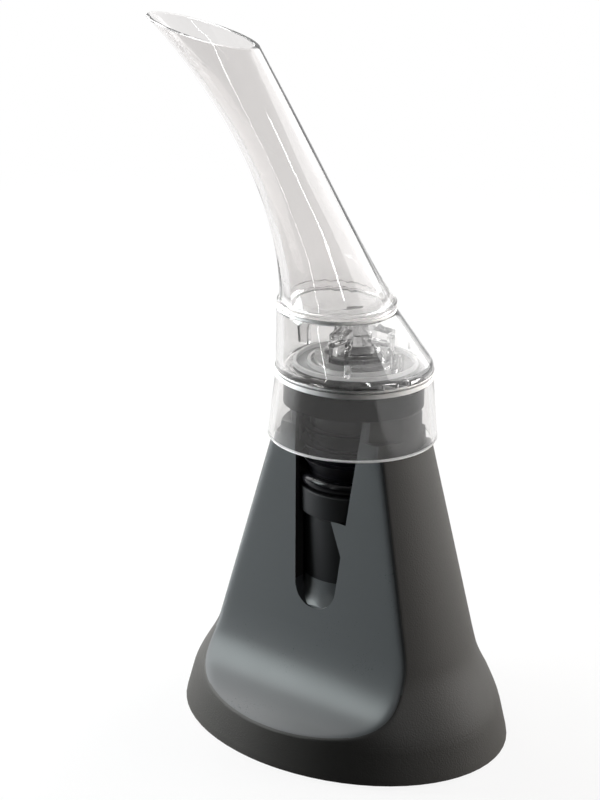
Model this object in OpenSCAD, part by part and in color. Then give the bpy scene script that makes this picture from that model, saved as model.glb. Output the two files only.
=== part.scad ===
/* [Stand] */
// Length of the oval foot, along the pouring direction
foot_len = 72.2; // [64:0.2:80]
// Width of the oval foot, across the pouring direction
foot_wid = 57.8; // [54:0.2:66]
// How far the foot is set out from the plain cone, at each end
flare_len_out = 3.1; // [2:0.1:4]
// How far the foot is set out from the plain cone, at each side
flare_wid_out = 1; // [0.5:0.1:2]
// Height at which the flare starts
flare_top = 19.7; // [17:0.1:24]
// Height at which the flare is fully out
flare_low = 6.3; // [4:0.1:8]
// Height of the ledge that the skirt comes down to
ledge_z = 62.1; // [58:0.1:70]
// Diameter of the cone at the ledge
ledge_d = 31; // [30:0.1:36]
// Height of the collar above the ledge
collar_h = 7.5; // [6.5:0.1:8.5]
// Width of the ledge around the collar
ledge_w = 0.9; // [0.6:0.1:1.4]
// Inward slope of the collar, in degrees
collar_draft = 3.7; // [0:0.1:5]
// Distance of the corner cuts of the collar from the axis
corner_in = 12.2; // [11.6:0.1:13.5]
// Height of the corner cuts of the collar
corner_h = 4.9; // [3.5:0.1:5.5]
// Wall of the stand
stand_wall = 2.4; // [1.8:0.1:3]
// Thickness of the roof under the ledge
roof_t = 2; // [1.5:0.1:3]

/* [Scooped faces] */
// Distance of each flat face from the axis, at the ledge
facet_in = 8.7; // [8.4:0.1:9.2]
// Lean of each flat face from the vertical, in degrees
facet_lean = 4.9; // [4:0.1:7]
// Height at which the flat and the toe would meet
toe_z = 12.3; // [10:0.1:14]
// Fall of the toe, in degrees
toe_slope = 17.8; // [14:0.2:24]
// Radius of the scoop between the flat and the toe
scoop_r = 17.8; // [10:0.2:20]

/* [Slots] */
// Width of each slot at the ledge
slot_top_w = 15.2; // [14:0.1:16]
// Width of each slot at its round end
slot_low_w = 10.1; // [8:0.1:11]
// Height of the centre of the round end
slot_low_z = 32.7; // [28:0.1:36]
// Radius of the hollow shelf at the foot of each slot
shelf_r = 8; // [6:0.2:10]
// Height of the top of that shelf above the centre of the round end
shelf_rise = 1.3; // [0.5:0.1:2]
// Distance of the tip of each support tab from the middle of its slot
tab_tip = 2.3; // [1.5:0.1:3.5]
// Height of each support tab
tab_h = 7.2; // [5:0.1:9]

/* [Base] */
// Thickness of the base plate
base_t = 2.4; // [2:0.1:3]
// How far the foot pad stands out below the stand
pad_proud = 0.2; // [0.2:0.1:1]
// Depth of the recess that holds the foot pad
pad_recess = 0.9; // [0.4:0.1:1.2]
// Bare margin around the foot pad
pad_margin = 5; // [3:0.5:8]
// Height of the ring that holds the drip cup
socket_h = 5; // [3:0.5:8]
// Wall of the ring that holds the drip cup
socket_wall = 2.2; // [1.5:0.1:3]

/* [Drip cup] */
// Outer diameter of the post
post_d = 18.4; // [17.8:0.1:18.8]
// Wall of the post
post_wall = 1.3; // [1:0.1:1.6]
// Diameter of the collar at the top of the cup
cup_collar_d = 20.8; // [20:0.1:21]
// Height of that collar
cup_collar_h = 5.2; // [4:0.1:6]
// Thickness of the cup's bottom
cup_bottom = 1.6; // [1:0.1:3]

/* [Stopper] */
// Gap between the head disc and the housing around it
head_gap = 0.35; // [0.3:0.05:1]
// Height of the head disc
head_h = 5.6; // [5.2:0.1:7]
// Diameter of the rubber plug between its ribs
plug_d = 17.2; // [16.6:0.1:17.6]
// Length of the plug below the head disc
plug_len = 22.1; // [21.4:0.1:23.2]
// Diameter of the nose of the plug
nose_d = 16.8; // [16:0.1:17]
// Diameter across the ribs
rib_d = 20.2; // [19:0.1:20.6]
// Height of one rib
rib_h = 2.4; // [1.6:0.1:3]
// Spacing of the ribs
rib_pitch = 3.4; // [3.2:0.1:3.8]
// Number of ribs
rib_count = 3; // [2:1:3]
// Outer diameter of the ring at the end of the plug
ring_d = 20.8; // [20:0.1:21]
// Thickness of that ring
ring_t = 2.6; // [2:0.1:3]
// Depth of the middle of that ring below the head disc
ring_drop = 16.1; // [15.4:0.1:16.5]
// Outer diameter of the stiff core
core_d = 12; // [11:0.1:12.4]
// Diameter of the wine channel
wine_d = 7.4; // [6.4:0.1:8]
// Diameter of the flange that holds the core in the head disc
core_flange_d = 16; // [15:0.1:16.6]
// Thickness of the flanges inside the head disc
flange_t = 1.6; // [1.2:0.1:2]
// Outer diameter of the air return tube
return_d = 2.6; // [2.2:0.1:3]
// Bore of the air return tube
return_bore = 1.6; // [1:0.1:1.8]
// How far the air return tube reaches below the plug
return_drop = 5; // [3:0.5:8]

/* [Chamber] */
// Gap between the skirt's rim and the ledge inside it
skirt_gap = 0.2; // [0.2:0.1:1.5]
// How far the skirt draws in from its rim to the shoulder, on each side
skirt_draft = 1.35; // [0.8:0.05:1.5]
// Wall of the housing
bell_wall = 1.3; // [1:0.1:1.4]
// Thickness of the chamber floor
floor_t = 1.9; // [1.5:0.1:2.5]
// Height of the chamber, from its floor to the neck
chamber_h = 10.3; // [9.5:0.1:12]
// Outer diameter of the neck
neck_d = 23.8; // [23.2:0.1:25]
// How far the neck is moved towards the pouring side
neck_shift = 4.8; // [4:0.1:5.2]
// Height of the upright part of the shoulder above the floor
shoulder_h = 0.4; // [0.3:0.1:1]
// Width of the inner ribs of the housing
bell_rib_w = 1.4; // [1:0.1:2]
// Height of the inner ribs of the housing
bell_rib_h = 5; // [3:0.5:6]
// How far the inner ribs of the housing reach in at the shoulder
bell_rib_in = 2.6; // [1.6:0.1:3]
// Height of the rings on the chamber floor
floor_ring_h = 0.7; // [0.4:0.1:1]
// Width of the rings on the chamber floor
floor_ring_w = 0.8; // [0.5:0.1:1]
// Distance of the rings from the nozzle's foot and from the housing
floor_ring_gap = 0.6; // [0.5:0.1:0.8]

/* [Nozzle and air tube] */
// Diameter of the nozzle's foot
nozzle_foot_d = 16.4; // [15.4:0.1:16.8]
// Thickness of the nozzle's foot
nozzle_foot_t = 1.4; // [1:0.1:2]
// Wall of the nozzle around the core
nozzle_wall = 1.2; // [0.8:0.1:1.4]
// Diameter of the nozzle's tip
nozzle_tip_d = 6.4; // [5.6:0.1:7]
// Height of the nozzle above the chamber floor
nozzle_h = 8.6; // [8:0.1:9]
// Bore of the nozzle's throat
throat_d = 4; // [3:0.1:4.6]
// Distance of the air tube's middle from the wall of the housing
air_in = 4.35; // [4.2:0.05:4.6]
// Outer diameter of the air tube
air_d = 2.6; // [2.2:0.1:2.8]
// Bore of the air tube
air_bore = 1.4; // [1:0.1:1.6]
// Height of the air tube above the chamber floor
air_h = 3.4; // [2.5:0.1:3.6]

/* [Spout] */
// Thickness of the soft ring under the spout
gasket_t = 0.7; // [0.5:0.1:1]
// Thickness of the spout's flange
spout_flange_t = 1.4; // [1:0.1:2.5]
// Depth of the spigot that centres the spout in the neck
spigot_drop = 1; // [0.6:0.1:1.4]
// Diameter of the tube where it leaves the flange
tube_foot_d = 22.8; // [22:0.1:23.2]
// Width of the tube across the pouring direction
tube_w = 13.2; // [12:0.1:15]
// Wall of the tube
tube_wall = 1.5; // [1:0.1:2]
// Height over which the foot of the tube narrows
flare_len = 10; // [6:0.5:14]
// Reach of the tip from the axis
tip_reach = 54.1; // [48:0.1:58]
// Rise of the tip above the flange
tip_rise = 50.7; // [46:0.1:56]
// Reach of the guide point of the lower edge from the axis
under_reach = 21.7; // [20:0.1:24]
// Rise of the guide point of the lower edge above the flange
under_rise = 29.8; // [27:0.1:33]
// Length of the slanted mouth
mouth_len = 28.2; // [24:0.1:30]
// Tilt of the mouth, in degrees
mouth_tilt = 8.9; // [4:0.1:12]

/* [Fits] */
// Clearance around what turns or slides freely
free_gap = 0.3; // [0.2:0.05:0.4]
// Clearance around what is pushed in and stays
seat_gap = 0.05; // [0.02:0.01:0.1]
// Clearance of the turning fit on the core
turn_gap = 0.06; // [0.02:0.01:0.1]

/* [Hidden] */
$fn = 96;
outline_steps = 96;
tube_steps = 20;
tube_sides = 36;
flare_steps = 6;
sliver = 0.01;
over = 1;
far = 120;
clear_tint = [0.86, 0.89, 0.91, 0.45];

collar_d = ledge_d - 2 * ledge_w;
skirt_d = ledge_d + 2 * (skirt_gap + bell_wall);
shoulder_d = skirt_d - 2 * skirt_draft;
head_d = shoulder_d - 2 * (bell_wall + head_gap);
collar_top = ledge_z + collar_h;
head_top = collar_top + head_h;
floor_top = head_top + floor_t;
shoulder_top = floor_top + shoulder_h;
neck_z = floor_top + chamber_h;
spout_z = neck_z + gasket_t;
tube_z = spout_z + spout_flange_t;
base_top = pad_proud + base_t;
nose_z = collar_top - plug_len;
ring_z = collar_top - ring_drop;
cup_top = ring_z - ring_t / 2 - free_gap;
cup_neck_z = cup_top - cup_collar_h;
cup_step_z = nose_z - 2 * free_gap;
plug_bore_r = max(ring_d, rib_d) / 2 + free_gap;
post_r = post_d / 2;
bell_inner_r = shoulder_d / 2 - bell_wall;
skirt_inner_r = skirt_d / 2 - bell_wall;
air_x = bell_inner_r - air_in;

toe_y = facet_in + (ledge_z - toe_z) * tan(facet_lean);
flat_dir = [-sin(facet_lean), cos(facet_lean)];
toe_dir = [cos(toe_slope), -sin(toe_slope)];
scoop_half_angle = acos(flat_dir * toe_dir) / 2;
scoop_tangent = scoop_r / tan(scoop_half_angle);
scoop_corner = [toe_y, toe_z];
scoop_bisector = (flat_dir + toe_dir) / norm(flat_dir + toe_dir);
scoop_centre = scoop_corner + scoop_bisector * scoop_r / sin(scoop_half_angle);

// Half length and half width of the cone at a height
function cone_share(z) = (z - pad_proud) / (ledge_z - pad_proud);
function flare_share(z) =
    let (t = min(1, max(0, (flare_top - z) / (flare_top - flare_low)))) t * t * (3 - 2 * t);
function cone_half(z, foot_half, flare) =
    (foot_half - flare) * (1 - cone_share(z)) + ledge_d / 2 * cone_share(z) + flare * flare_share(z);
function cone_half_x(z) = cone_half(z, foot_len / 2, flare_len_out);
function cone_half_y(z) = cone_half(z, foot_wid / 2, flare_wid_out);

// Half width of the slot at a height
function slot_half(z) =
    slot_low_w / 2 + (slot_top_w - slot_low_w) / 2 * (z - slot_low_z) / (ledge_z - slot_low_z);

// A point on a curve that starts at a, is drawn towards b and ends at c
function curve_point(a, b, c, t) = (1 - t) * (1 - t) * a + 2 * t * (1 - t) * b + t * t * c;

module oval(half_x, half_y) {
    polygon([for (i = [0 : outline_steps - 1])
        [half_x * cos(360 * i / outline_steps), half_y * sin(360 * i / outline_steps)]]);
}

module oval_plate(half_x, half_y, low, high) {
    translate([0, 0, low])
        linear_extrude(high - low)
            oval(half_x, half_y);
}

// The flared cone between two heights, drawn in by an inset
module cone_between(low, high, inset) {
    bend = [for (i = [0 : flare_steps]) flare_low + (flare_top - flare_low) * i / flare_steps];
    lofted([for (z = concat(low, bend, high))
        [for (i = [0 : outline_steps - 1])
            [
                (cone_half_x(z) - inset) * cos(360 * i / outline_steps),
                (cone_half_y(z) - inset) * sin(360 * i / outline_steps),
                z
            ]]]);
}

// What the two scooped faces take away, moved inwards and down by an inset
module scoops(inset) {
    flat_touch = scoop_corner + flat_dir * scoop_tangent;
    toe_touch = scoop_corner + toe_dir * scoop_tangent;
    for (side = [0, 1])
        mirror([0, side, 0])
            rotate([90, 0, 90])
                linear_extrude(far, center = true)
                    translate([-inset, -inset]) {
                        polygon([
                            flat_touch,
                            flat_touch + flat_dir * far,
                            [far, far],
                            toe_touch + toe_dir * far,
                            toe_touch,
                            scoop_centre
                        ]);
                        translate(scoop_centre)
                            circle(r = scoop_r);
                    }
}

module slot_cut() {
    top = collar_top + over;
    rotate([90, 0, 0])
        linear_extrude(far, center = true) {
            polygon([
                [-slot_half(slot_low_z), slot_low_z],
                [slot_half(slot_low_z), slot_low_z],
                [slot_half(top), top],
                [-slot_half(top), top]
            ]);
            translate([0, slot_low_z])
                circle(d = slot_low_w);
        }
}

module stand_outside() {
    collar_top_r = collar_d / 2 - collar_h * tan(collar_draft);
    difference() {
        union() {
            cone_between(pad_proud, ledge_z, 0);
            translate([0, 0, ledge_z - sliver])
                cylinder(r1 = collar_d / 2, r2 = collar_top_r, h = collar_h + sliver);
        }
        scoops(0);
        for (turn = [45 : 90 : 315])
            rotate(turn)
                translate([corner_in, -far / 2, collar_top - corner_h])
                    cube([far, far, far]);
    }
}

// Hollow ring that closes the foot of each slot
module slot_shelf() {
    shelf_top = slot_low_z + shelf_rise;
    shelf_in = post_r + free_gap;
    shelf_drop = shelf_r + stand_wall;
    shelf_half = slot_low_w / 2 + over;
    intersection() {
        translate([-shelf_half, -far / 2, shelf_top - shelf_drop])
            cube([2 * shelf_half, far, shelf_drop]);
        rotate_extrude()
            difference() {
                translate([shelf_in, shelf_top - shelf_drop])
                    square([shelf_r, shelf_drop]);
                translate([shelf_in + shelf_r, shelf_top])
                    circle(r = shelf_r);
            }
    }
}

// Pointed tab in one corner of each slot, under the collar of the drip cup
module support_tabs() {
    tab_low = cup_neck_z - tab_h;
    tip = [tab_tip, cup_neck_z];
    low_corner = [slot_half(tab_low), tab_low];
    root = low_corner + (low_corner - tip) * over / norm(low_corner - tip);
    for (turn = [0, 180])
        rotate(turn)
            translate([0, -(post_r + free_gap), 0])
                rotate([90, 0, 0])
                    linear_extrude(far)
                        polygon([tip, [slot_half(cup_neck_z) + over, cup_neck_z], root]);
}

module stand_shell() {
    ceiling = ledge_z - roof_t;
    color([0.16, 0.17, 0.18])
        union() {
            difference() {
                stand_outside();
                difference() {
                    cone_between(pad_proud - sliver, ceiling, stand_wall);
                    scoops(stand_wall);
                }
                translate([0, 0, cup_neck_z - free_gap])
                    cylinder(r = plug_bore_r, h = far);
                translate([0, 0, base_top])
                    cylinder(r = post_r + free_gap, h = cup_neck_z - base_top);
                slot_cut();
            }
            intersection() {
                stand_outside();
                union() {
                    slot_shelf();
                    support_tabs();
                }
            }
        }
}

module drip_cup() {
    color([0.3, 0.31, 0.32])
        difference() {
            union() {
                translate([0, 0, base_top])
                    cylinder(d = post_d, h = cup_top - base_top);
                translate([0, 0, cup_neck_z])
                    cylinder(d = cup_collar_d, h = cup_collar_h);
            }
            translate([0, 0, base_top + cup_bottom])
                cylinder(r = post_r - post_wall, h = far);
            translate([0, 0, cup_step_z])
                cylinder(d = nose_d + 2 * free_gap, h = far);
        }
}

module base_plate() {
    inset = stand_wall + seat_gap;
    color([0.13, 0.13, 0.14])
        difference() {
            union() {
                oval_plate(
                    cone_half_x(base_top) - inset, cone_half_y(base_top) - inset,
                    pad_proud, base_top
                );
                translate([0, 0, base_top])
                    cylinder(r = post_r + seat_gap + socket_wall, h = socket_h);
            }
            translate([0, 0, base_top])
                cylinder(r = post_r + seat_gap, h = far);
            oval_plate(
                foot_len / 2 - pad_margin + seat_gap, foot_wid / 2 - pad_margin + seat_gap,
                pad_proud - over, pad_proud + pad_recess
            );
        }
}

module foot_pad() {
    color([0.08, 0.08, 0.08])
        oval_plate(foot_len / 2 - pad_margin, foot_wid / 2 - pad_margin, 0, pad_proud + pad_recess);
}

module stopper_head() {
    groove_w = air_d;
    color([0.07, 0.07, 0.07])
        difference() {
            translate([0, 0, collar_top])
                cylinder(d = head_d, h = head_h);
            translate([0, 0, collar_top - over])
                cylinder(d = core_d + 2 * seat_gap, h = far);
            translate([0, 0, collar_top - over])
                cylinder(d = plug_d + 2 * seat_gap, h = flange_t + over);
            translate([0, 0, collar_top])
                cylinder(d = core_flange_d + 2 * seat_gap, h = 2 * flange_t + seat_gap);
            // Ring groove and outlet for the air
            translate([0, 0, head_top - flange_t]) {
                difference() {
                    cylinder(r = air_x + groove_w / 2, h = far);
                    cylinder(r = air_x - groove_w / 2, h = 2 * far, center = true);
                }
                translate([air_x, -groove_w / 2, 0])
                    cube([far, groove_w, far]);
            }
        }
}

module stopper_sleeve() {
    color([0.04, 0.04, 0.05])
        difference() {
            union() {
                translate([0, 0, ring_z])
                    cylinder(d = plug_d, h = collar_top + flange_t - ring_z);
                translate([0, 0, nose_z])
                    cylinder(d = nose_d, h = ring_z - nose_z);
                for (i = [1 : rib_count])
                    translate([0, 0, ring_z + i * rib_pitch - rib_h / 2])
                        cylinder(d1 = plug_d, d2 = rib_d, h = rib_h);
            }
            translate([0, 0, nose_z - over])
                cylinder(d = core_d + 2 * seat_gap, h = far);
            plug_ring_shape(ring_t + 2 * seat_gap);
        }
}

module plug_ring_shape(thickness) {
    rotate_extrude()
        translate([(ring_d - ring_t) / 2, ring_z])
            circle(d = thickness);
}

module plug_ring() {
    color([0.02, 0.02, 0.02])
        plug_ring_shape(ring_t);
}

module stopper_core() {
    core_low = nose_z + free_gap;
    core_top = floor_top + nozzle_h / 4;
    color([0.2, 0.2, 0.21])
        difference() {
            union() {
                translate([0, 0, core_low])
                    cylinder(d = core_d, h = core_top - core_low);
                translate([0, 0, collar_top + flange_t])
                    cylinder(d = core_flange_d, h = flange_t);
            }
            translate([0, 0, core_low - over])
                cylinder(d = wine_d, h = far);
        }
}

module air_return_tube() {
    tube_low = nose_z - return_drop;
    tube_top = floor_top;
    wall_x = (wine_d - return_d) / 2 - seat_gap;
    color([0.75, 0.76, 0.78])
        translate([wall_x, 0, 0])
            difference() {
                translate([0, 0, tube_low])
                    cylinder(d = return_d, h = tube_top - tube_low);
                translate([0, 0, tube_low - over])
                    cylinder(d = return_bore, h = far);
            }
}

module venturi_nozzle() {
    seat_top = floor_top + nozzle_h / 4;
    foot_low = floor_top + turn_gap;
    tip_z = floor_top + nozzle_h;
    side_hole_z = (seat_top + tip_z) / 2;
    color(clear_tint)
        difference() {
            union() {
                translate([0, 0, foot_low])
                    cylinder(d = nozzle_foot_d, h = nozzle_foot_t);
                translate([0, 0, foot_low])
                    cylinder(d1 = core_d + 2 * nozzle_wall, d2 = nozzle_tip_d, h = tip_z - foot_low);
            }
            translate([0, 0, floor_top - over])
                cylinder(d = core_d + 2 * seat_gap, h = seat_top - floor_top + over);
            translate([0, 0, seat_top])
                cylinder(d1 = wine_d, d2 = throat_d, h = tip_z - seat_top + sliver);
            for (turn = [0 : 90 : 270])
                rotate(turn)
                    translate([0, 0, side_hole_z])
                        rotate([0, 90, 0])
                            cylinder(d = air_bore, h = far);
        }
}

module bell_outside() {
    translate([0, 0, ledge_z])
        cylinder(d1 = skirt_d, d2 = shoulder_d, h = head_top - ledge_z);
    translate([0, 0, head_top - sliver])
        cylinder(d = shoulder_d, h = shoulder_top - head_top + 2 * sliver);
    oblique_cone(shoulder_d / 2, neck_d / 2, neck_z);
}

module bell_housing() {
    rib_low = floor_top + floor_ring_h + free_gap;
    color(clear_tint)
        union() {
            difference() {
                bell_outside();
                translate([0, 0, ledge_z - sliver])
                    cylinder(r1 = skirt_inner_r, r2 = bell_inner_r, h = head_top - ledge_z + sliver);
                translate([0, 0, head_top - sliver])
                    cylinder(r = bell_inner_r, h = shoulder_top - head_top + 2 * sliver);
                oblique_cone(bell_inner_r, neck_d / 2 - bell_wall, neck_z + sliver);
            }
            intersection() {
                bell_outside();
                for (turn = [-60, 60, 180])
                    rotate(turn)
                        translate([bell_inner_r - bell_rib_in, -bell_rib_w / 2, rib_low])
                            cube([bell_rib_in + bell_wall / 2, bell_rib_w, bell_rib_h]);
            }
        }
}

// Cone from the shoulder to the neck, whose top is moved to the pouring side
module oblique_cone(low_r, high_r, top) {
    hull() {
        translate([0, 0, shoulder_top])
            cylinder(r = low_r, h = sliver);
        translate([-neck_shift, 0, top - sliver])
            cylinder(r = high_r, h = sliver);
    }
}

module chamber_floor() {
    inner_ring_r = nozzle_foot_d / 2 + floor_ring_gap + floor_ring_w;
    outer_ring_r = bell_inner_r - floor_ring_gap - air_d / 2;
    color(clear_tint)
        difference() {
            union() {
                translate([0, 0, head_top])
                    cylinder(r = bell_inner_r - seat_gap, h = floor_t);
                for (ring_r = [inner_ring_r, outer_ring_r])
                    translate([0, 0, floor_top - sliver])
                        difference() {
                            cylinder(r = ring_r, h = floor_ring_h);
                            translate([0, 0, -over])
                                cylinder(r = ring_r - floor_ring_w, h = far);
                        }
            }
            translate([0, 0, head_top - over])
                cylinder(d = core_d + 2 * turn_gap, h = far);
            translate([air_x, 0, head_top - over])
                cylinder(d = air_d + 2 * seat_gap, h = far);
        }
}

module air_intake_tube() {
    color(clear_tint)
        translate([air_x, 0, 0])
            difference() {
                translate([0, 0, head_top])
                    cylinder(d = air_d, h = floor_t + air_h);
                translate([0, 0, head_top - over])
                    cylinder(d = air_bore, h = far);
            }
}

module neck_gasket() {
    color([0.9, 0.91, 0.92, 0.6])
        translate([-neck_shift, 0, neck_z])
            difference() {
                cylinder(d = neck_d, h = gasket_t);
                translate([0, 0, -over])
                    cylinder(r = neck_d / 2 - bell_wall - seat_gap, h = far);
            }
}

// Upper and lower edge of the tube in the upright middle plane, from foot (0) to mouth (1)
spout_tip = [-tip_reach, tube_z + tip_rise];
mouth_end = spout_tip + mouth_len * [cos(mouth_tilt), -sin(mouth_tilt)];
foot_under = [-neck_shift - tube_foot_d / 2, tube_z];
foot_over = [-neck_shift + tube_foot_d / 2, tube_z];
under_guide = [-under_reach, tube_z + under_rise];
over_guide = foot_over + (mouth_end - foot_over) * under_rise / tip_rise;
function under_edge(t) = curve_point(foot_under, under_guide, spout_tip, t);
function over_edge(t) = curve_point(foot_over, over_guide, mouth_end, t);

// Half width of the tube across the middle plane
function tube_half(t) =
    tube_w / 2 + (tube_foot_d - tube_w) / 2 * exp(-(under_edge(t)[1] - tube_z) / flare_len);

// One oval ring of the tube, drawn in by an inset
function tube_ring(t, inset) =
    let (
        middle = (under_edge(t) + over_edge(t)) / 2,
        half = (over_edge(t) - under_edge(t)) / 2,
        lean_share = norm(mouth_end - foot_over) / (mouth_end[1] - foot_over[1]),
        across = half * (1 - inset * (1 + t * (lean_share - 1)) / norm(half))
    )
    [for (i = [0 : tube_sides - 1])
        let (turn = 360 * i / tube_sides)
        [
            middle[0] + across[0] * cos(turn),
            (tube_half(t) - inset) * sin(turn),
            middle[1] + across[1] * cos(turn)
        ]];

// A closed solid through a list of rings of equal length
module lofted(rings) {
    sides = len(rings[0]);
    last = (len(rings) - 1) * sides;
    polyhedron(
        points = [for (ring = rings) each ring],
        faces = concat(
            [[for (i = [0 : sides - 1]) i]],
            [[for (i = [sides - 1 : -1 : 0]) last + i]],
            [for (r = [0 : len(rings) - 2], i = [0 : sides - 1], half = [0, 1])
                let (
                    low = r * sides + i,
                    low_next = r * sides + (i + 1) % sides,
                    high = low + sides,
                    high_next = low_next + sides
                )
                half == 0 ? [low, high, low_next] : [low_next, high, high_next]]
        )
    );
}

module tube_solid(inset, start, end) {
    lofted([for (step = [0 : tube_steps]) tube_ring(start + (end - start) * step / tube_steps, inset)]);
}

module spout() {
    spigot_r = neck_d / 2 - bell_wall - 2 * seat_gap;
    bore_r = min(tube_foot_d / 2 - tube_wall, spigot_r) - tube_wall;
    past_ends = 0.02;
    color(clear_tint)
        difference() {
            union() {
                translate([-neck_shift, 0, spout_z])
                    cylinder(d = neck_d, h = spout_flange_t);
                translate([-neck_shift, 0, spout_z - gasket_t - spigot_drop])
                    cylinder(r = spigot_r, h = spigot_drop + gasket_t + sliver);
                tube_solid(0, 0, 1);
            }
            tube_solid(tube_wall, -past_ends, 1 + past_ends);
            translate([-neck_shift, 0, spout_z - far])
                cylinder(r = bore_r, h = far + spout_flange_t + 2 * sliver);
        }
}

stand_shell();
drip_cup();
base_plate();
foot_pad();
stopper_head();
stopper_sleeve();
plug_ring();
stopper_core();
air_return_tube();
venturi_nozzle();
bell_housing();
chamber_floor();
air_intake_tube();
neck_gasket();
spout();
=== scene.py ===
"""Looks for a clear wine aerator pourer that stands in its black stand."""

import logging
import math
from dataclasses import dataclass, field
from enum import Enum, Flag, auto
from typing import Callable, Dict, List, Optional, Sequence, Tuple, Union

import bmesh
import bpy
from mathutils import Matrix, Vector


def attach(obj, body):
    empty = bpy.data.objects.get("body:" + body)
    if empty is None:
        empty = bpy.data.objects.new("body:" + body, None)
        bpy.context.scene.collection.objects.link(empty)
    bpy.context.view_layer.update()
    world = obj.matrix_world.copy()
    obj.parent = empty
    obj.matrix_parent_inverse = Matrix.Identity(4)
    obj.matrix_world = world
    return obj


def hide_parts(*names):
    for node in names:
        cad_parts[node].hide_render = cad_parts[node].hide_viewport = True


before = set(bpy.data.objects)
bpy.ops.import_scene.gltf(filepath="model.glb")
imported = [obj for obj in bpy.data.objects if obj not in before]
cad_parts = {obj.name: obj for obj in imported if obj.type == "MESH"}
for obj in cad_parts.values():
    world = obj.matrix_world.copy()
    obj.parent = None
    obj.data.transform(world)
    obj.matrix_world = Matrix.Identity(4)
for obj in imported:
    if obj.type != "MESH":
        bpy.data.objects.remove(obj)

LOG = logging.getLogger("pourer")
MM = 0.001
MERGE = 1e-4
FACE_MARK = "face_finish"
MIDDLE_GREY = 0.5
WHITE = (1.0, 1.0, 1.0)
COOL = (0.96, 0.99, 1.0)
CYAN = (0.92, 1.0, 1.0)
WARM = (1.0, 0.96, 0.92)
# Reach of the scooped faces at a ring that they don't cut
NO_FACES = 99.0

Point2 = Tuple[float, float]
Point3 = Tuple[float, float, float]
Colour = Tuple[float, float, float]
Feed = Union["Wire", float, int, Sequence[float]]
Feeds = Dict[Union[int, str], Feed]
Vert = bmesh.types.BMVert
Edge = bmesh.types.BMEdge
Face = bmesh.types.BMFace
Paint = bpy.types.Material


class Cut(Enum):
    """How a tool shape acts on a form."""

    AWAY = "DIFFERENCE"
    JOIN = "UNION"
    COMMON = "INTERSECT"


class Body(Enum):
    """The moving bodies of the part."""

    STAND = "stand"
    STOPPER = "stopper"
    HOUSING = "housing"


class Shows(Flag):
    """What a lamp shows on or in."""

    MATT = auto()
    GLOSS = auto()
    CLEAR = auto()
    BRIGHT = GLOSS | CLEAR


class Wire:
    """A shader socket that takes part in Python arithmetic."""

    def __init__(self, graph: "Graph", socket: bpy.types.NodeSocket) -> None:
        """Keeps the graph and one of its output sockets."""
        self.graph = graph
        self.socket = socket

    def _math(self, operation: str, left: Feed, right: Feed) -> "Wire":
        """The result of a new Math node."""
        return self.graph.node("ShaderNodeMath", {"operation": operation}, {0: left, 1: right})

    def __add__(self, other: Feed) -> "Wire":
        """Sum."""
        return self._math("ADD", self, other)

    def __radd__(self, other: Feed) -> "Wire":
        """Sum, with the number first."""
        return self._math("ADD", other, self)

    def __sub__(self, other: Feed) -> "Wire":
        """Difference."""
        return self._math("SUBTRACT", self, other)

    def __rsub__(self, other: Feed) -> "Wire":
        """Difference, with the number first."""
        return self._math("SUBTRACT", other, self)

    def __mul__(self, other: Feed) -> "Wire":
        """Product."""
        return self._math("MULTIPLY", self, other)

    def __rmul__(self, other: Feed) -> "Wire":
        """Product, with the number first."""
        return self._math("MULTIPLY", other, self)

    def __or__(self, other: Feed) -> "Wire":
        """The larger of two values."""
        return self._math("MAXIMUM", self, other)


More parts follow.
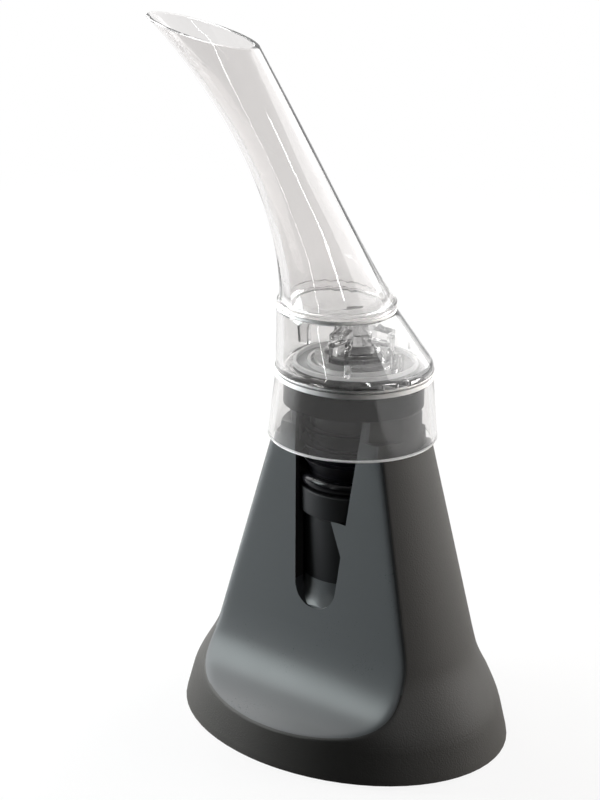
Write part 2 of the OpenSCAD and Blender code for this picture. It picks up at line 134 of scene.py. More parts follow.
class Graph:
    """The node tree of one material or of the world."""

    def __init__(self, owner: Union[Paint, bpy.types.World]) -> None:
        """Empties the node tree of a material or of the world.

        Args:
            owner: The material or the world.
        """
        owner.use_nodes = True
        self.tree = owner.node_tree
        self.tree.nodes.clear()

    def node(
        self,
        kind: str,
        settings: Optional[Dict[str, object]] = None,
        feeds: Optional[Feeds] = None,
        out: Union[int, str] = 0,
    ) -> Wire:
        """Adds a node of any type.

        Args:
            kind: The node's type.
            settings: Properties that are set first.
            feeds: Values or links of its sockets.
            out: Which output is wanted.

        Returns:
            The wanted output, or the node's first input where it has no output.
        """
        made = self.tree.nodes.new(kind)
        for name, value in (settings or {}).items():
            setattr(made, name, value)
        for key, value in (feeds or {}).items():
            if isinstance(value, Wire):
                self.tree.links.new(value.socket, made.inputs[key])
            else:
                made.inputs[key].default_value = value
        return Wire(self, made.outputs[out] if made.outputs else made.inputs[0])

    def place(self) -> Wire:
        """The Object coordinates, in metres."""
        return self.node("ShaderNodeTexCoord", out="Object")

    def mark(self) -> Wire:
        """The mark that the faces carry."""
        return self.node("ShaderNodeAttribute", {"attribute_name": FACE_MARK}, None, "Fac")

    def noise(
        self, size_mm: float, detail: float = 2.0, longer: float = 1.0, lean_deg: float = 0.0
    ) -> Wire:
        """Noise of a given size.

        Args:
            size_mm: About how large its spots are.
            detail: How many finer layers it has.
            longer: How much longer the spots are along their own upright axis.
            lean_deg: Lean of that axis towards the pouring side.

        Returns:
            A value around 0.5.
        """
        lean = (0.0, -math.radians(lean_deg), 0.0)
        feeds = {"Vector": self.place(), "Rotation": lean, "Scale": (1.0, 1.0, longer)}
        moved = self.node("ShaderNodeMapping", {"vector_type": "TEXTURE"}, feeds)
        feeds = {"Vector": moved, "Scale": 1.0 / (size_mm * MM), "Detail": detail, "Roughness": 0.55}
        return self.node("ShaderNodeTexNoise", None, feeds, "Fac")

    def blend(self, share: Feed, first: Colour, second: Colour) -> Wire:
        """A first colour mixed with a share of a second."""
        feeds = {0: share, 6: (*first, 1.0), 7: (*second, 1.0)}
        return self.node("ShaderNodeMix", {"data_type": "RGBA"}, feeds, 2)

    def bump(self, height: Feed, strength: float, depth_mm: float) -> Wire:
        """The normal of a relief of a given depth, of which a share shows."""
        feeds = {"Strength": strength, "Distance": depth_mm * MM, "Height": height}
        return self.node("ShaderNodeBump", None, feeds)

    def ease(self, value: Feed, start: Point2, end: Point2) -> Wire:
        """A soft step between two pairs of a value and its result."""
        feeds = dict(zip(("Value", "From Min", "To Min", "From Max", "To Max"), (value, *start, *end)))
        return self.node("ShaderNodeMapRange", {"interpolation_type": "SMOOTHSTEP"}, feeds)

    def plastic(self, feeds: Feeds) -> Wire:
        """A Principled shader."""
        return self.node("ShaderNodeBsdfPrincipled", None, feeds)

    def mixed(self, share: Feed, first: Wire, second: Wire) -> Wire:
        """A first shader mixed with a share of a second."""
        return self.node("ShaderNodeMixShader", None, {0: share, 1: first, 2: second})

    def surface(self, shader: Wire) -> None:
        """Leads a shader to the material's output."""
        self.node("ShaderNodeOutputMaterial", None, {"Surface": shader})


def dimmed(colour: Colour, share: float) -> Colour:
    """A share of a colour."""
    return tuple(share * c for c in colour)


@dataclass(frozen=True)
class Finish:
    """A surface that makes its own material."""

    name: str

    def shader(self, graph: Graph) -> Wire:
        """The surface's shader, which each kind of finish gives."""
        raise NotImplementedError(self.name)

    def material(self) -> Paint:
        """Makes the material.

        Returns:
            The new material.
        """
        made = bpy.data.materials.new(self.name)
        graph = Graph(made)
        graph.surface(self.shader(graph))
        return made


@dataclass(frozen=True)
class ClearPlastic(Finish):
    """Polished clear plastic with faint flow ripples and handling marks, milky where it is marked."""

    tint: Colour
    roughness: float = 0.012
    marks: float = 0.03
    ripple: float = 0.06
    ripple_mm: float = 9.0
    ripple_depth: float = 0.25
    longer: float = 3.0
    lean_deg: float = 0.0
    flow_tone: float = 0.975
    index: float = 1.49
    haze_mm: float = 2.5
    frost: float = 0.0
    patchy: float = 0.3
    milk: Colour = (0.95, 0.95, 0.95)
    milk_low: Colour = (0.8, 0.8, 0.8)
    milk_rough: float = 0.35

    def shader(self, graph: Graph) -> Wire:
        """Builds the shader.

        Args:
            graph: The material's graph.

        Returns:
            The shader.
        """
        flow = graph.noise(self.ripple_mm, 1.0, self.longer, self.lean_deg)
        haze = graph.noise(self.haze_mm, 3.0)
        clear = graph.plastic(
            {
                "Base Color": graph.blend(flow, self.tint, dimmed(self.tint, self.flow_tone)),
                "Roughness": self.roughness + haze * haze * self.marks,
                "Transmission Weight": 1.0,
                "IOR": self.index,
                "Normal": graph.bump(flow, self.ripple, self.ripple_depth),
            }
        )
        if not self.frost:
            return clear
        milk = graph.blend(haze, self.milk, self.milk_low)
        milky = graph.plastic({"Base Color": milk, "Roughness": self.milk_rough})
        share = graph.mark() * (self.frost + (haze - MIDDLE_GREY) * self.patchy)
        return graph.mixed(share, clear, milky)


@dataclass(frozen=True)
class StandPlastic(Finish):
    """Black moulded plastic: satin on the scooped faces, grained on the cone; the faces' lighter colour is
    painted sheen.
    """

    # The scooped faces are lighter than the cone: that is painted sheen of the satin faces. Their satin
    # roughness and gloss are real.
    face: Colour = (0.075, 0.081, 0.084)
    cone: Colour = (0.034, 0.033, 0.031)
    face_rough: float = 0.3
    cone_rough: float = 0.5
    face_gloss: float = 0.36
    cone_gloss: float = 0.25
    grain_mm: float = 0.32
    grain_depth: float = 0.12
    grain_rough: float = 0.1
    cone_grain: float = 0.35
    face_grain: float = 0.035
    cloud_mm: float = 14.0
    cloud_rough: float = 0.08
    worn_share: float = 0.4
    worn_tone: float = 0.86

    def shader(self, graph: Graph) -> Wire:
        """Builds the shader.

        Args:
            graph: The material's graph.

        Returns:
            The shader.
        """
        grain = graph.noise(self.grain_mm, 2.0)
        cloud = graph.noise(self.cloud_mm, 3.0)

        def side(colour: Colour, rough: float, gloss: float, relief: float) -> Wire:
            """One of the two surfaces.

            Args:
                colour: Its colour.
                rough: Its roughness.
                gloss: Strength of its reflections.
                relief: How much of the grain it shows.

            Returns:
                The shader.
            """
            worn = cloud * self.worn_share
            clouds, grains = cloud - MIDDLE_GREY, grain - MIDDLE_GREY
            return graph.plastic(
                {
                    "Base Color": graph.blend(worn, colour, dimmed(colour, self.worn_tone)),
                    "Roughness": rough + clouds * self.cloud_rough + grains * self.grain_rough,
                    "Specular IOR Level": gloss,
                    "Normal": graph.bump(grain, relief, self.grain_depth),
                }
            )

        cone = side(self.cone, self.cone_rough, self.cone_gloss, self.cone_grain)
        # The faces' shader carries the lighter colour, which is painted sheen.
        face = side(self.face, self.face_rough, self.face_gloss, self.face_grain)
        return graph.mixed(graph.mark(), cone, face)


@dataclass(frozen=True)
class PlainPlastic(Finish):
    """Dark moulded plastic or rubber with a fine grain and faint clouding."""

    colour: Colour
    roughness: float
    grain_mm: float = 0.4
    grain: float = 0.15
    specular: float = 0.4
    clouding: float = 0.3
    grain_depth: float = 0.08
    cloud_mm: float = 6.0
    cloud_rough: float = 0.12
    lift: Point2 = (1.5, 0.004)

    def shader(self, graph: Graph) -> Wire:
        """Builds the shader.

        Args:
            graph: The material's graph.

        Returns:
            The shader.
        """
        grain = graph.noise(self.grain_mm, 2.0)
        cloud = graph.noise(self.cloud_mm, 3.0)
        lighter = tuple(self.lift[0] * c + self.lift[1] for c in self.colour)
        return graph.plastic(
            {
                "Base Color": graph.blend(cloud * self.clouding, self.colour, lighter),
                "Roughness": self.roughness + (cloud - MIDDLE_GREY) * self.cloud_rough,
                "Specular IOR Level": self.specular,
                "Normal": graph.bump(grain, self.grain, self.grain_depth),
            }
        )


@dataclass(frozen=True)
class MilkySoft(Finish):
    """Soft, milky clear ring material."""

    tint: Colour = (0.97, 0.97, 0.97)
    low_tone: float = 0.94
    roughness: float = 0.28
    cloud_mm: float = 1.5
    cloud_rough: float = 0.1
    clear: float = 0.15
    index: float = 1.42
    relief: float = 0.1
    relief_depth: float = 0.05

    def shader(self, graph: Graph) -> Wire:
        """Builds the shader.

        Args:
            graph: The material's graph.

        Returns:
            The shader.
        """
        cloud = graph.noise(self.cloud_mm, 2.0)
        return graph.plastic(
            {
                "Base Color": graph.blend(cloud, self.tint, dimmed(self.tint, self.low_tone)),
                "Roughness": self.roughness + cloud * self.cloud_rough,
                "Transmission Weight": self.clear,
                "IOR": self.index,
                "Normal": graph.bump(cloud, self.relief, self.relief_depth),
            }
        )


def level_way(turn_deg: float) -> Vector:
    """The level direction at a turn round the axis."""
    return Vector((math.cos(math.radians(turn_deg)), math.sin(math.radians(turn_deg)), 0))


class Form:
    """A mesh under construction, in millimetres."""

    def __init__(self) -> None:
        """Starts with no geometry."""
        self.bm = bmesh.new()

    @classmethod
    def turned(cls, profile: Sequence[Point2], steps: int = 128, centre_x: float = 0.0) -> "Form":
        """Turns a closed profile about an upright axis.

        Args:
            profile: Radius and height of each corner.
            steps: Number of steps round.
            centre_x: Where the axis is.

        Returns:
            The turned form.
        """
        form = cls()
        verts = [form.bm.verts.new((centre_x + r, 0.0, z)) for r, z in profile]
        edges = [form.bm.edges.new(pair) for pair in zip(verts, verts[1:] + verts[:1])]
        centre, axis = (centre_x, 0.0, 0.0), (0.0, 0.0, 1.0)
        bmesh.ops.spin(
            form.bm, geom=verts + edges, cent=centre, axis=axis, angle=math.tau, steps=steps, use_merge=True
        )
        form.clean()
        return form

    @classmethod
    def tube(
        cls, radii: Point2, low: float, top: float, steps: int = 128, centre_x: float = 0.0
    ) -> "Form":
        """An upright tube.

        Args:
            radii: Radius of its bore and of its outside.
            low: Its lower end.
            top: Its upper end.
            steps: Number of steps round.
            centre_x: Where its axis is.

        Returns:
            The tube.
        """
        bore, outside = radii
        return cls.turned([(bore, low), (outside, low), (outside, top), (bore, top)], steps, centre_x)

    @classmethod
    def lofted(cls, rings: Sequence[Sequence[Vector]], ends: bool) -> "Form":
        """Draws a skin through closed rings.

        Args:
            rings: Points of each ring, equally many.
            ends: True caps both ends; False joins the last ring to the first.

        Returns:
            The closed form.
        """
        form = cls()
        bmesh.ops.create_circle(form.bm, segments=len(rings[0]), radius=1.0)
        form.bm.verts.ensure_lookup_table()
        first = list(form.bm.verts)
        for vert, point in zip(first, rings[0]):
            vert.co = point
        ring = first
        for points in rings[1:]:
            ring = form._grow(ring, points)
        loops = [form._loop(first), form._loop(ring)]
        if ends:
            for loop in loops:
                bmesh.ops.contextual_create(form.bm, geom=loop)
        else:
            bmesh.ops.bridge_loops(form.bm, edges=loops[0] + loops[1])
        form.clean()
        return form

    @classmethod
    def prism(cls, outline: Sequence[Vector], sweep: Vector) -> "Form":
        """Extrudes a flat outline.

        Args:
            outline: Its corners in order.
            sweep: The way and the length of the extrusion.

        Returns:
            The closed form.
        """
        form = cls()
        face = form.bm.faces.new([form.bm.verts.new(point) for point in outline])
        grown = bmesh.ops.extrude_face_region(form.bm, geom=[face], use_keep_orig=True)
        moved = [item for item in grown["geom"] if isinstance(item, Vert)]
        bmesh.ops.translate(form.bm, vec=sweep, verts=moved)
        form.clean()
        return form

    @classmethod
    def fin(cls, way: Vector, half: float, corners: Sequence[Point2]) -> "Form":
        """An upright plate that stands out from the axis.

        Args:
            way: Its level direction.
            half: Half its thickness.
            corners: Distance from the axis and height of each corner.

        Returns:
            The plate.
        """
        aside = Vector((-way.y, way.x, 0)) * half
        return cls.prism([way * r + Vector((0, 0, z)) - aside for r, z in corners], aside * 2)

    @classmethod
    def rod(cls, radius: float, start: Vector, end: Vector, sides: int = 48) -> "Form":
        """A round bar, used as a tool.

        Args:
            radius: Its radius.
            start: Middle of one end.
            end: Middle of the other end.
            sides: Number of sides.

        Returns:
            The bar.
        """
        form = cls()
        way = end - start
        turn = way.to_track_quat("Z", "Y").to_matrix().to_4x4()
        place = Matrix.Translation((start + end) / 2) @ turn
        size = {"radius1": radius, "radius2": radius, "depth": way.length, "segments": sides}
        bmesh.ops.create_cone(form.bm, cap_ends=True, matrix=place, **size)
        return form

    def _loop(self, ring: Sequence[Vert]) -> List[Edge]:
        """The edges of a closed ring of vertices."""
        return [self.bm.edges.get(pair) for pair in zip(ring, list(ring[1:]) + [ring[0]])]

    def _grow(self, ring: List[Vert], points: Sequence[Vector]) -> List[Vert]:
        """Extrudes a ring of vertices to new points.

        Args:
            ring: The last ring.
            points: Where the new ring goes.

        Returns:
            The new ring.
        """
        made = bmesh.ops.extrude_edge_only(self.bm, edges=self._loop(ring))
        fresh = {item for item in made["geom"] if isinstance(item, Vert)}
        grown = []
        for vert, point in zip(ring, points):
            new = next(e.other_vert(vert) for e in vert.link_edges if e.other_vert(vert) in fresh)
            new.co = point
            grown.append(new)
        return grown

    def clean(self) -> None:
        """Merges doubles and points all faces outwards."""
        bmesh.ops.remove_doubles(self.bm, verts=self.bm.verts, dist=MERGE)
        bmesh.ops.dissolve_degenerate(self.bm, dist=MERGE, edges=self.bm.edges)
        bmesh.ops.recalc_face_normals(self.bm, faces=self.bm.faces)

    def round_edges(
        self,
        width: float,
        steps: int = 3,
        angle: float = 50.0,
        chosen: Callable[[Edge], bool] = lambda edge: True,
    ) -> None:
        """Rounds the sharp edges.

        Args:
            width: Width of the rounding.
            steps: Number of strips.
            angle: Least angle of an edge that counts as sharp, in degrees.
            chosen: Test for the edges that are wanted.
        """
        limit = math.radians(angle)
        paired = [edge for edge in self.bm.edges if len(edge.link_faces) == 2]
        sharp = [edge for edge in paired if edge.calc_face_angle(0.0) > limit and chosen(edge)]
        shape = {"offset": width, "offset_type": "OFFSET", "segments": steps, "profile": 0.5}
        bmesh.ops.bevel(self.bm, geom=sharp, affect="EDGES", clamp_overlap=True, material=-1, **shape)

    def _scratch(self, name: str) -> bpy.types.Object:
        """Makes a throw-away object that holds this mesh.

        Args:
            name: Its name.

        Returns:
            The object.
        """
        mesh = bpy.data.meshes.new(name)
        self.bm.to_mesh(mesh)
        made = bpy.data.objects.new(name, mesh)
        bpy.context.scene.collection.objects.link(made)
        return made

    def carve(self, tool: "Form", how: Cut) -> None:
        """Lets a tool act on this form.

        Args:
            tool: The other form, which stays as it is.
            how: Join, take away or keep what is common.
        """
        target, other = self._scratch("target"), tool._scratch("tool")
        step = target.modifiers.new("carve", "BOOLEAN")
        step.operation = how.value
        step.solver = "EXACT"
        step.object = other
        depsgraph = bpy.context.evaluated_depsgraph_get()
        result = bpy.data.meshes.new_from_object(target.evaluated_get(depsgraph))
        self.bm.clear()
        self.bm.from_mesh(result)
        bpy.data.meshes.remove(result)
        for scratch in (target, other):
            mesh = scratch.data
            bpy.data.objects.remove(scratch)
            bpy.data.meshes.remove(mesh)
        bmesh.ops.remove_doubles(self.bm, verts=self.bm.verts, dist=MERGE)

    def piece(
        self,
        name: str,
        finish: Paint,
        body: Body,
        slot: str,
        smooth_deg: float = 40.0,
        mark: Optional[Callable[[Face], float]] = None,
    ) -> None:
        """Makes the finished object, which stands for the node of its name.

        Args:
            name: Name of the CAD node that it replaces.
            finish: Its material.
            body: The body that it rides on.
            slot: The record's material slot; not used.
            smooth_deg: Edges up to this angle are shaded smooth.
            mark: Value of the face mark that the material reads.
        """
        self.bm.normal_update()
        if mark is not None:
            layer = self.bm.faces.layers.float.new(FACE_MARK)
            for face in self.bm.faces:
                face[layer] = mark(face)
        bmesh.ops.scale(self.bm, vec=(MM, MM, MM), verts=self.bm.verts)
        mesh = bpy.data.meshes.new(name + "_look")
        self.bm.to_mesh(mesh)
        self.bm.free()
        mesh.shade_smooth()
        mesh.set_sharp_from_angle(angle=math.radians(smooth_deg))
        mesh.materials.append(finish)
        made = bpy.data.objects.new(name + "_look", mesh)
        bpy.context.scene.collection.objects.link(made)
        even = made.modifiers.new("even_shading", "WEIGHTED_NORMAL")
        even.keep_sharp = True
        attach(made, body.value)
        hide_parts(name)
        LOG.info("%s: %d faces", made.name, len(mesh.polygons))


def soft_min(first: float, second: float, width: float) -> float:
    """The smaller of two numbers, rounded over where they differ by less than a width."""
    near = max(width - abs(first - second), 0.0) / width
    return min(first, second) - near * near * width / 4


def arc(centre: Point2, radius: float, start: float, end: float, steps: int) -> List[Point2]:
    """Points along an arc, from one angle to another in degrees."""
    angles = [math.radians(start + (end - start) * i / steps) for i in range(steps + 1)]
    return [(centre[0] + radius * math.cos(a), centre[1] + radius * math.sin(a)) for a in angles]


def between(first: float, second: float, share: float) -> float:
    """A value on the way from one number to another."""
    return first + (second - first) * share


@dataclass
class Levels:
    """Heights that the sub-assemblies share, in millimetres."""

    shell_low: float = 0.2
    ledge: float = 62.1
    collar_top: float = 69.6
    head_top: float = 75.2
    floor_top: float = 77.1
    shoulder_top: float = 77.5
    neck: float = 87.4
    spout_low: float = 88.1
    tube_low: float = 89.5


def drawn_in(half: Point2, by: float) -> Point2:
    """Half length and half width of an oval that is drawn in all round."""
    return half[0] - by, half[1] - by


@dataclass
class Stand:
    """The black stand: cone with scooped faces, drip cup, base plate and foot pad; in mm and degrees."""

    levels: Levels = field(default_factory=Levels)
    foot_half: Point2 = (36.1, 28.9)  # lengthwise and across
    foot_round: Tuple[Point2, ...] = ((0.15, 0.0), (0.0435, 0.0435))  # inset and rise of each ring
    flare: Point2 = (3.1, 1.0)  # lengthwise and across
    flare_top: float = 19.7
    flare_low: float = 6.3
    ledge_r: float = 15.95
    ledge_round: Tuple[Point2, ...] = ((0.05, -0.25), (0.22, 0.0))  # inset and rise of each ring
    collar_r: Point2 = (14.6, 14.1)  # at its foot and at its top
    collar_foot: float = 0.2
    collar_edge: float = 0.6
    collar_round: float = 0.3
    corner_in: float = 12.2
    corner_low: float = 64.7
    wall: float = 2.4
    hollow_z: Tuple[float, ...] = (-1.0, 2.0, 4.0, 5.0, 6.5, 8.0, 10.0, 13.0, 16.0, 20.0, 30.0, 45.0)
    roof: float = 60.1
    facet_in: float = 8.7
    facet_lean: float = 4.9
    face_near: float = 0.4
    face_low: float = 6.0
    toe_z: float = 12.3
    toe_slope: float = 17.8
    scoop_r: float = 17.8
    edge_round: float = 1.5
    slot_top_half: float = 7.6
    slot_low_half: float = 5.05
    slot_low_z: float = 32.7
    slot_round: float = 0.3
    bore_r: float = 10.7
    bore_low: float = 46.4
    bore_top: float = 80.0
    shelf_in: float = 9.5
    shelf_r: float = 8.0
    shelf_top: float = 33.1
    shelf_depth: float = 0.35
    shelf_over: float = 1.0
    shelf_near: float = 0.1
    shelf_box: Point2 = (40.0, 60.0)  # half length and height of the tool
    tab_tip: float = 2.3
    tab_h: float = 7.2
    tab_root: float = 1.0
    tab_deep: float = 8.0
    cup_neck: float = 46.7
    cup_top: float = 51.9
    cup_step: float = 46.9
    cup_round: float = 0.3
    cup_collar_r: float = 10.4
    post_r: float = 9.2
    post_bore_r: float = 7.9
    nose_bore_r: float = 8.7
    base_top: float = 2.6
    cup_bottom: float = 1.6
    fit: float = 0.05
    socket_wall: float = 2.2
    socket_sunk: float = 0.5
    socket_top: float = 7.6
    pad_top: float = 1.1
    pad_margin: float = 5.0
    pad_round: float = 0.2
    tool_over: float = 2.0
    tool_under: float = 1.0
    tool_long: float = 90.0

    def __post_init__(self) -> None:
        """Works out where the flat, the scoop and the toe of a face meet."""
        lean, slope = math.radians(self.facet_lean), math.radians(self.toe_slope)
        self.flat_way = Vector((-math.sin(lean), math.cos(lean)))
        self.toe_way = Vector((math.cos(slope), -math.sin(slope)))
        corner = Vector((self.facet_in + (self.levels.ledge - self.toe_z) * math.tan(lean), self.toe_z))
        half = self.flat_way.angle(self.toe_way) / 2
        reach = self.scoop_r / math.tan(half)
        self.flat_end = corner + self.flat_way * reach
        self.toe_end = corner + self.toe_way * reach
        self.scoop_at = corner + (self.flat_way + self.toe_way).normalized() * (self.scoop_r / math.sin(half))

    def half_axes(self, z: float) -> Point2:
        """Half length and half width of the flared cone.

        Args:
            z: The height.

        Returns:
            Both halves.
        """
        share = (z - self.levels.shell_low) / (self.levels.ledge - self.levels.shell_low)
        bend = min(1.0, max(0.0, (self.flare_top - z) / (self.flare_top - self.flare_low)))
        out = bend * bend * (3.0 - 2.0 * bend)
        length, width = (
            (foot - flare) * (1.0 - share) + self.ledge_r * share + flare * out
            for foot, flare in zip(self.foot_half, self.flare)
        )
        return length, width

    def facet_reach(self, z: float) -> float:
        """Distance of a scooped face from the middle plane.

        Args:
            z: The height.

        Returns:
            The distance.
        """
        if z >= self.flat_end.y:
            return self.flat_end.x - (z - self.flat_end.y) * math.tan(math.radians(self.facet_lean))
        if z <= self.toe_end.y:
            return self.toe_end.x + (self.toe_end.y - z) / math.tan(math.radians(self.toe_slope))
        rise = z - self.scoop_at.y
        return self.scoop_at.x - math.sqrt(self.scoop_r**2 - rise**2)

    def slot_half(self, z: float) -> float:
        """Half width of a slot at a height, above its round end."""
        share = (z - self.slot_low_z) / (self.levels.ledge - self.slot_low_z)
        return between(self.slot_low_half, self.slot_top_half, share)

    @staticmethod
    def _shares(count: int, near: Sequence[float]) -> List[float]:
        """Places between two corners, closer together near them.

        Args:
            count: Number of even steps in between.
            near: Small shares near a corner.

        Returns:
            Rising numbers from 0 to just under 1.
        """
        low, high = near[-1], 1.0 - near[-1]
        middle = [low + (high - low) * i / count for i in range(1, count)]
        return [0.0, *near, *middle, *[1.0 - share for share in reversed(near)]]

    def outline(self, z: float, half: Point2, reach: float, rounding: float) -> List[Vector]:
        """One level ring of the stand.

        Args:
            z: Its height.
            half: Half length and half width of the cone there.
            reach: Distance of the scooped faces from the middle plane.
            rounding: Width over which cone and faces run into each other.

        Returns:
            Points that start at the front right corner.
        """
        corner = math.asin(min(1.0, reach / half[1]))
        across = half[0] * math.cos(corner)
        depth = half[1] * math.sin(corner)
        arc_shares = self._shares(30, (0.004, 0.010, 0.018, 0.030, 0.048))
        flat_shares = self._shares(10, (0.008, 0.020, 0.036, 0.060, 0.095))
        rough: List[Point2] = []
        for turn, side in ((0.0, 1.0), (math.pi, -1.0)):
            for share in arc_shares:
                angle = turn - corner + 2 * corner * share
                rough.append((half[0] * math.cos(angle), half[1] * math.sin(angle)))
            for share in flat_shares:
                rough.append((side * across * (1 - 2 * share), side * depth))
        points = []
        for x, y in rough:
            angle = math.atan2(y, x)
            cone = 1.0 / math.hypot(math.cos(angle) / half[0], math.sin(angle) / half[1])
            face = reach / max(abs(math.sin(angle)), 1e-6)
            radius = soft_min(cone, face, rounding) if rounding else min(cone, face)
            points.append(Vector((radius * math.cos(angle), radius * math.sin(angle), z)))
        return points

    def _oval(self, half: Point2, low: float, top: float) -> Form:
        """An oval plate between two heights."""
        return Form.lofted([self.outline(z, half, NO_FACES, 0.0) for z in (low, top)], ends=True)

    def toe_meets_cone(self) -> float:
        """Height at which the toe of a face meets the cone in the middle.

        Returns:
            The height.
        """
        low, high = self.levels.shell_low, self.toe_z
        for _ in range(40):
            middle = (low + high) / 2
            if self.facet_reach(middle) > self.half_axes(middle)[1]:
                low = middle
            else:
                high = middle
        return low

    def heights(self) -> List[float]:
        """Heights of the rings of the cone, closer where the toe meets it.

        Returns:
            Rising heights from the foot to just under the ledge.
        """
        meet, foot = self.toe_meets_cone(), self.levels.shell_low
        foot_gap, toe_gap, ledge_gap = 0.5, 2.0, 0.6
        toe_step, near_step, scoop_step = 0.12, 0.012, 0.55
        low = [foot + foot_gap + (meet - toe_gap - foot) * i / 4 for i in range(4)]
        toe = [meet - toe_step * i for i in range(10, 0, -1)]
        rise = [meet + near_step * i * i for i in range(16)]
        scoop = [rise[-1] + scoop_step * i for i in range(1, 24)]
        even = [between(scoop[-1], self.levels.ledge - ledge_gap, i / 14) for i in range(1, 15)]
        return low + toe + rise + scoop + even

    def skin(self, depth: float = 0.0) -> Form:
        """The outer skin of the stand as one closed solid.

        Args:
            depth: How far its scooped faces are drawn in.

        Returns:
            The solid.
        """
        levels, (low_r, top_r) = self.levels, self.collar_r
        rings = []
        for inset, rise in self.foot_round:
            z = levels.shell_low + rise
            rings.append(self.outline(z, drawn_in(self.half_axes(z), inset), NO_FACES, 0.0))
        for z in self.heights():
            rings.append(self.outline(z, self.half_axes(z), self.facet_reach(z) - depth, self.edge_round))
        edge = [(self.ledge_r - inset, levels.ledge + rise) for inset, rise in self.ledge_round]
        for radius, z in (*edge, (low_r, levels.ledge), (low_r, levels.ledge + self.collar_foot)):
            rings.append(self.outline(z, (radius, radius), self.facet_reach(z), self.collar_edge))
        for z, inset, cut in (
            (self.corner_low, 0.0, False),
            (self.corner_low, 0.0, True),
            (levels.collar_top - self.collar_round, 0.0, True),
            (levels.collar_top, self.collar_round, True),
        ):
            share = (z - levels.ledge) / (levels.collar_top - levels.ledge)
            radius = between(low_r, top_r, share) - inset
            ring = self.outline(z, (radius, radius), self.facet_reach(z) - inset, self.collar_edge)
            rings.append([self._corner_cut(point, inset) for point in ring] if cut else ring)
        return Form.lofted(rings, ends=True)

    def _corner_cut(self, point: Vector, inset: float) -> Vector:
        """Draws a point in to the corner cuts of the collar.

        Args:
            point: A point of a ring.
            inset: Further draw.

        Returns:
            The point, on or inside the cuts.
        """
        diagonal = (abs(point.x) + abs(point.y)) / math.sqrt(2)
        share = min(1.0, (self.corner_in - inset) / diagonal)
        return Vector((point.x * share, point.y * share, point.z))

    def cavity(self) -> Form:
        """The hollow inside the cone.

        Returns:
            The hollow as a solid.
        """
        rings = []
        for z in (*self.hollow_z, self.roof):
            reach = self.facet_reach(z + self.wall) - self.wall
            rings.append(self.outline(z, drawn_in(self.half_axes(z), self.wall), reach, 0.0))
        return Form.lofted(rings, ends=True)

    def slot_tool(self) -> Form:
        """The prism that cuts both slots.

        Returns:
            The prism.
        """
        top = self.levels.collar_top + self.tool_over
        half = self.slot_half(top)
        low = arc((0.0, self.slot_low_z), self.slot_low_half, 180.0, 360.0, 40)
        outline = [Vector((x, -self.tool_long / 2, z)) for x, z in [(-half, top), *low, (half, top)]]
        return Form.prism(outline, Vector((0, self.tool_long, 0)))

    def shelf(self) -> Form:
        """The hollow ring at the foot of each slot.

        Returns:
            The ring, wider than the slots.
        """
        out = self.shelf_in + self.shelf_r
        low = self.shelf_top - self.shelf_r - self.wall
        curve = arc((out, self.shelf_top), self.shelf_r, 180.0, 270.0, 24)
        form = Form.turned([(self.shelf_in, low), *curve, (out, low)])
        half, (far, high) = self.slot_low_half + self.shelf_over, self.shelf_box
        corners = ((-half, -far), (half, -far), (half, far), (-half, far))
        box = [Vector((x, y, low - self.tool_under)) for x, y in corners]
        form.carve(Form.prism(box, Vector((0, 0, high))), Cut.COMMON)
        return form

    def tab(self, side: float) -> Form:
        """The pointed tab in one corner of a slot.

        Args:
            side: 1 for the front tab, -1 for the back one.

        Returns:
            The tab, longer than needed outwards.
        """
        low = self.cup_neck - self.tab_h
        tip = Vector((self.tab_tip, 0, self.cup_neck))
        low_corner = Vector((self.slot_half(low), 0, low))
        root = low_corner + (low_corner - tip).normalized() * self.tab_root
        far_corner = Vector((self.slot_half(self.cup_neck) + self.tab_root, 0, self.cup_neck))
        outline = [Vector((side * p.x, -side * self.shelf_in, p.z)) for p in (tip, far_corner, root)]
        return Form.prism(outline, Vector((0, -side * self.tab_deep, 0)))

    def _on_slot_rim(self, edge: Edge) -> bool:
        """Whether an edge runs along the rim of a slot on a scooped face.

        Args:
            edge: The edge.

        Returns:
            True on the rim.
        """
        near, facing = 0.05, 0.9
        normals = sorted(abs(face.normal.y) for face in edge.link_faces)
        middle = (edge.verts[0].co + edge.verts[1].co) / 2
        on_face = abs(abs(middle.y) - self.facet_reach(middle.z)) < near
        return normals[0] < near and normals[1] > facing and on_face

    def shell(self, finish: Paint) -> None:
        """Builds and dresses the cone.

        Args:
            finish: Its material.
        """
        form = self.skin()
        form.carve(self.cavity(), Cut.AWAY)
        for radius, low, top in (
            (self.bore_r, self.bore_low, self.bore_top),
            (self.shelf_in, self.base_top, self.cup_neck),
        ):
            form.carve(Form.rod(radius, Vector((0, 0, low)), Vector((0, 0, top)), 128), Cut.AWAY)
        form.carve(self.slot_tool(), Cut.AWAY)
        form.round_edges(self.slot_round, chosen=self._on_slot_rim)
        for extra in (self.shelf(), self.tab(1.0), self.tab(-1.0)):
            extra.carve(self.skin(self.shelf_depth), Cut.COMMON)
            form.carve(extra, Cut.JOIN)
        form.piece("stand_shell", finish, Body.STAND, "stand_black", 32.0, self._is_scooped)

    def _is_scooped(self, face: Face) -> float:
        """Whether a face belongs to a scooped face or to the shelf of its slot; both take the lighter face
        colour that is painted sheen.

        Args:
            face: The face.

        Returns:
            1 if it does, otherwise 0.
        """
        middle = face.calc_center_median()
        off_face = abs(abs(middle.y) - self.facet_reach(middle.z))
        on_face = off_face < self.face_near and middle.z > self.face_low
        shelf_z = self.slot_low_z - self.face_low, self.shelf_top + self.shelf_near
        # The shelves take the lighter face colour too: painted light on the floor of each slot.
        on_shelf = shelf_z[0] < middle.z < shelf_z[1] and abs(middle.x) < self.slot_low_half
        return 1.0 if on_face or on_shelf else 0.0

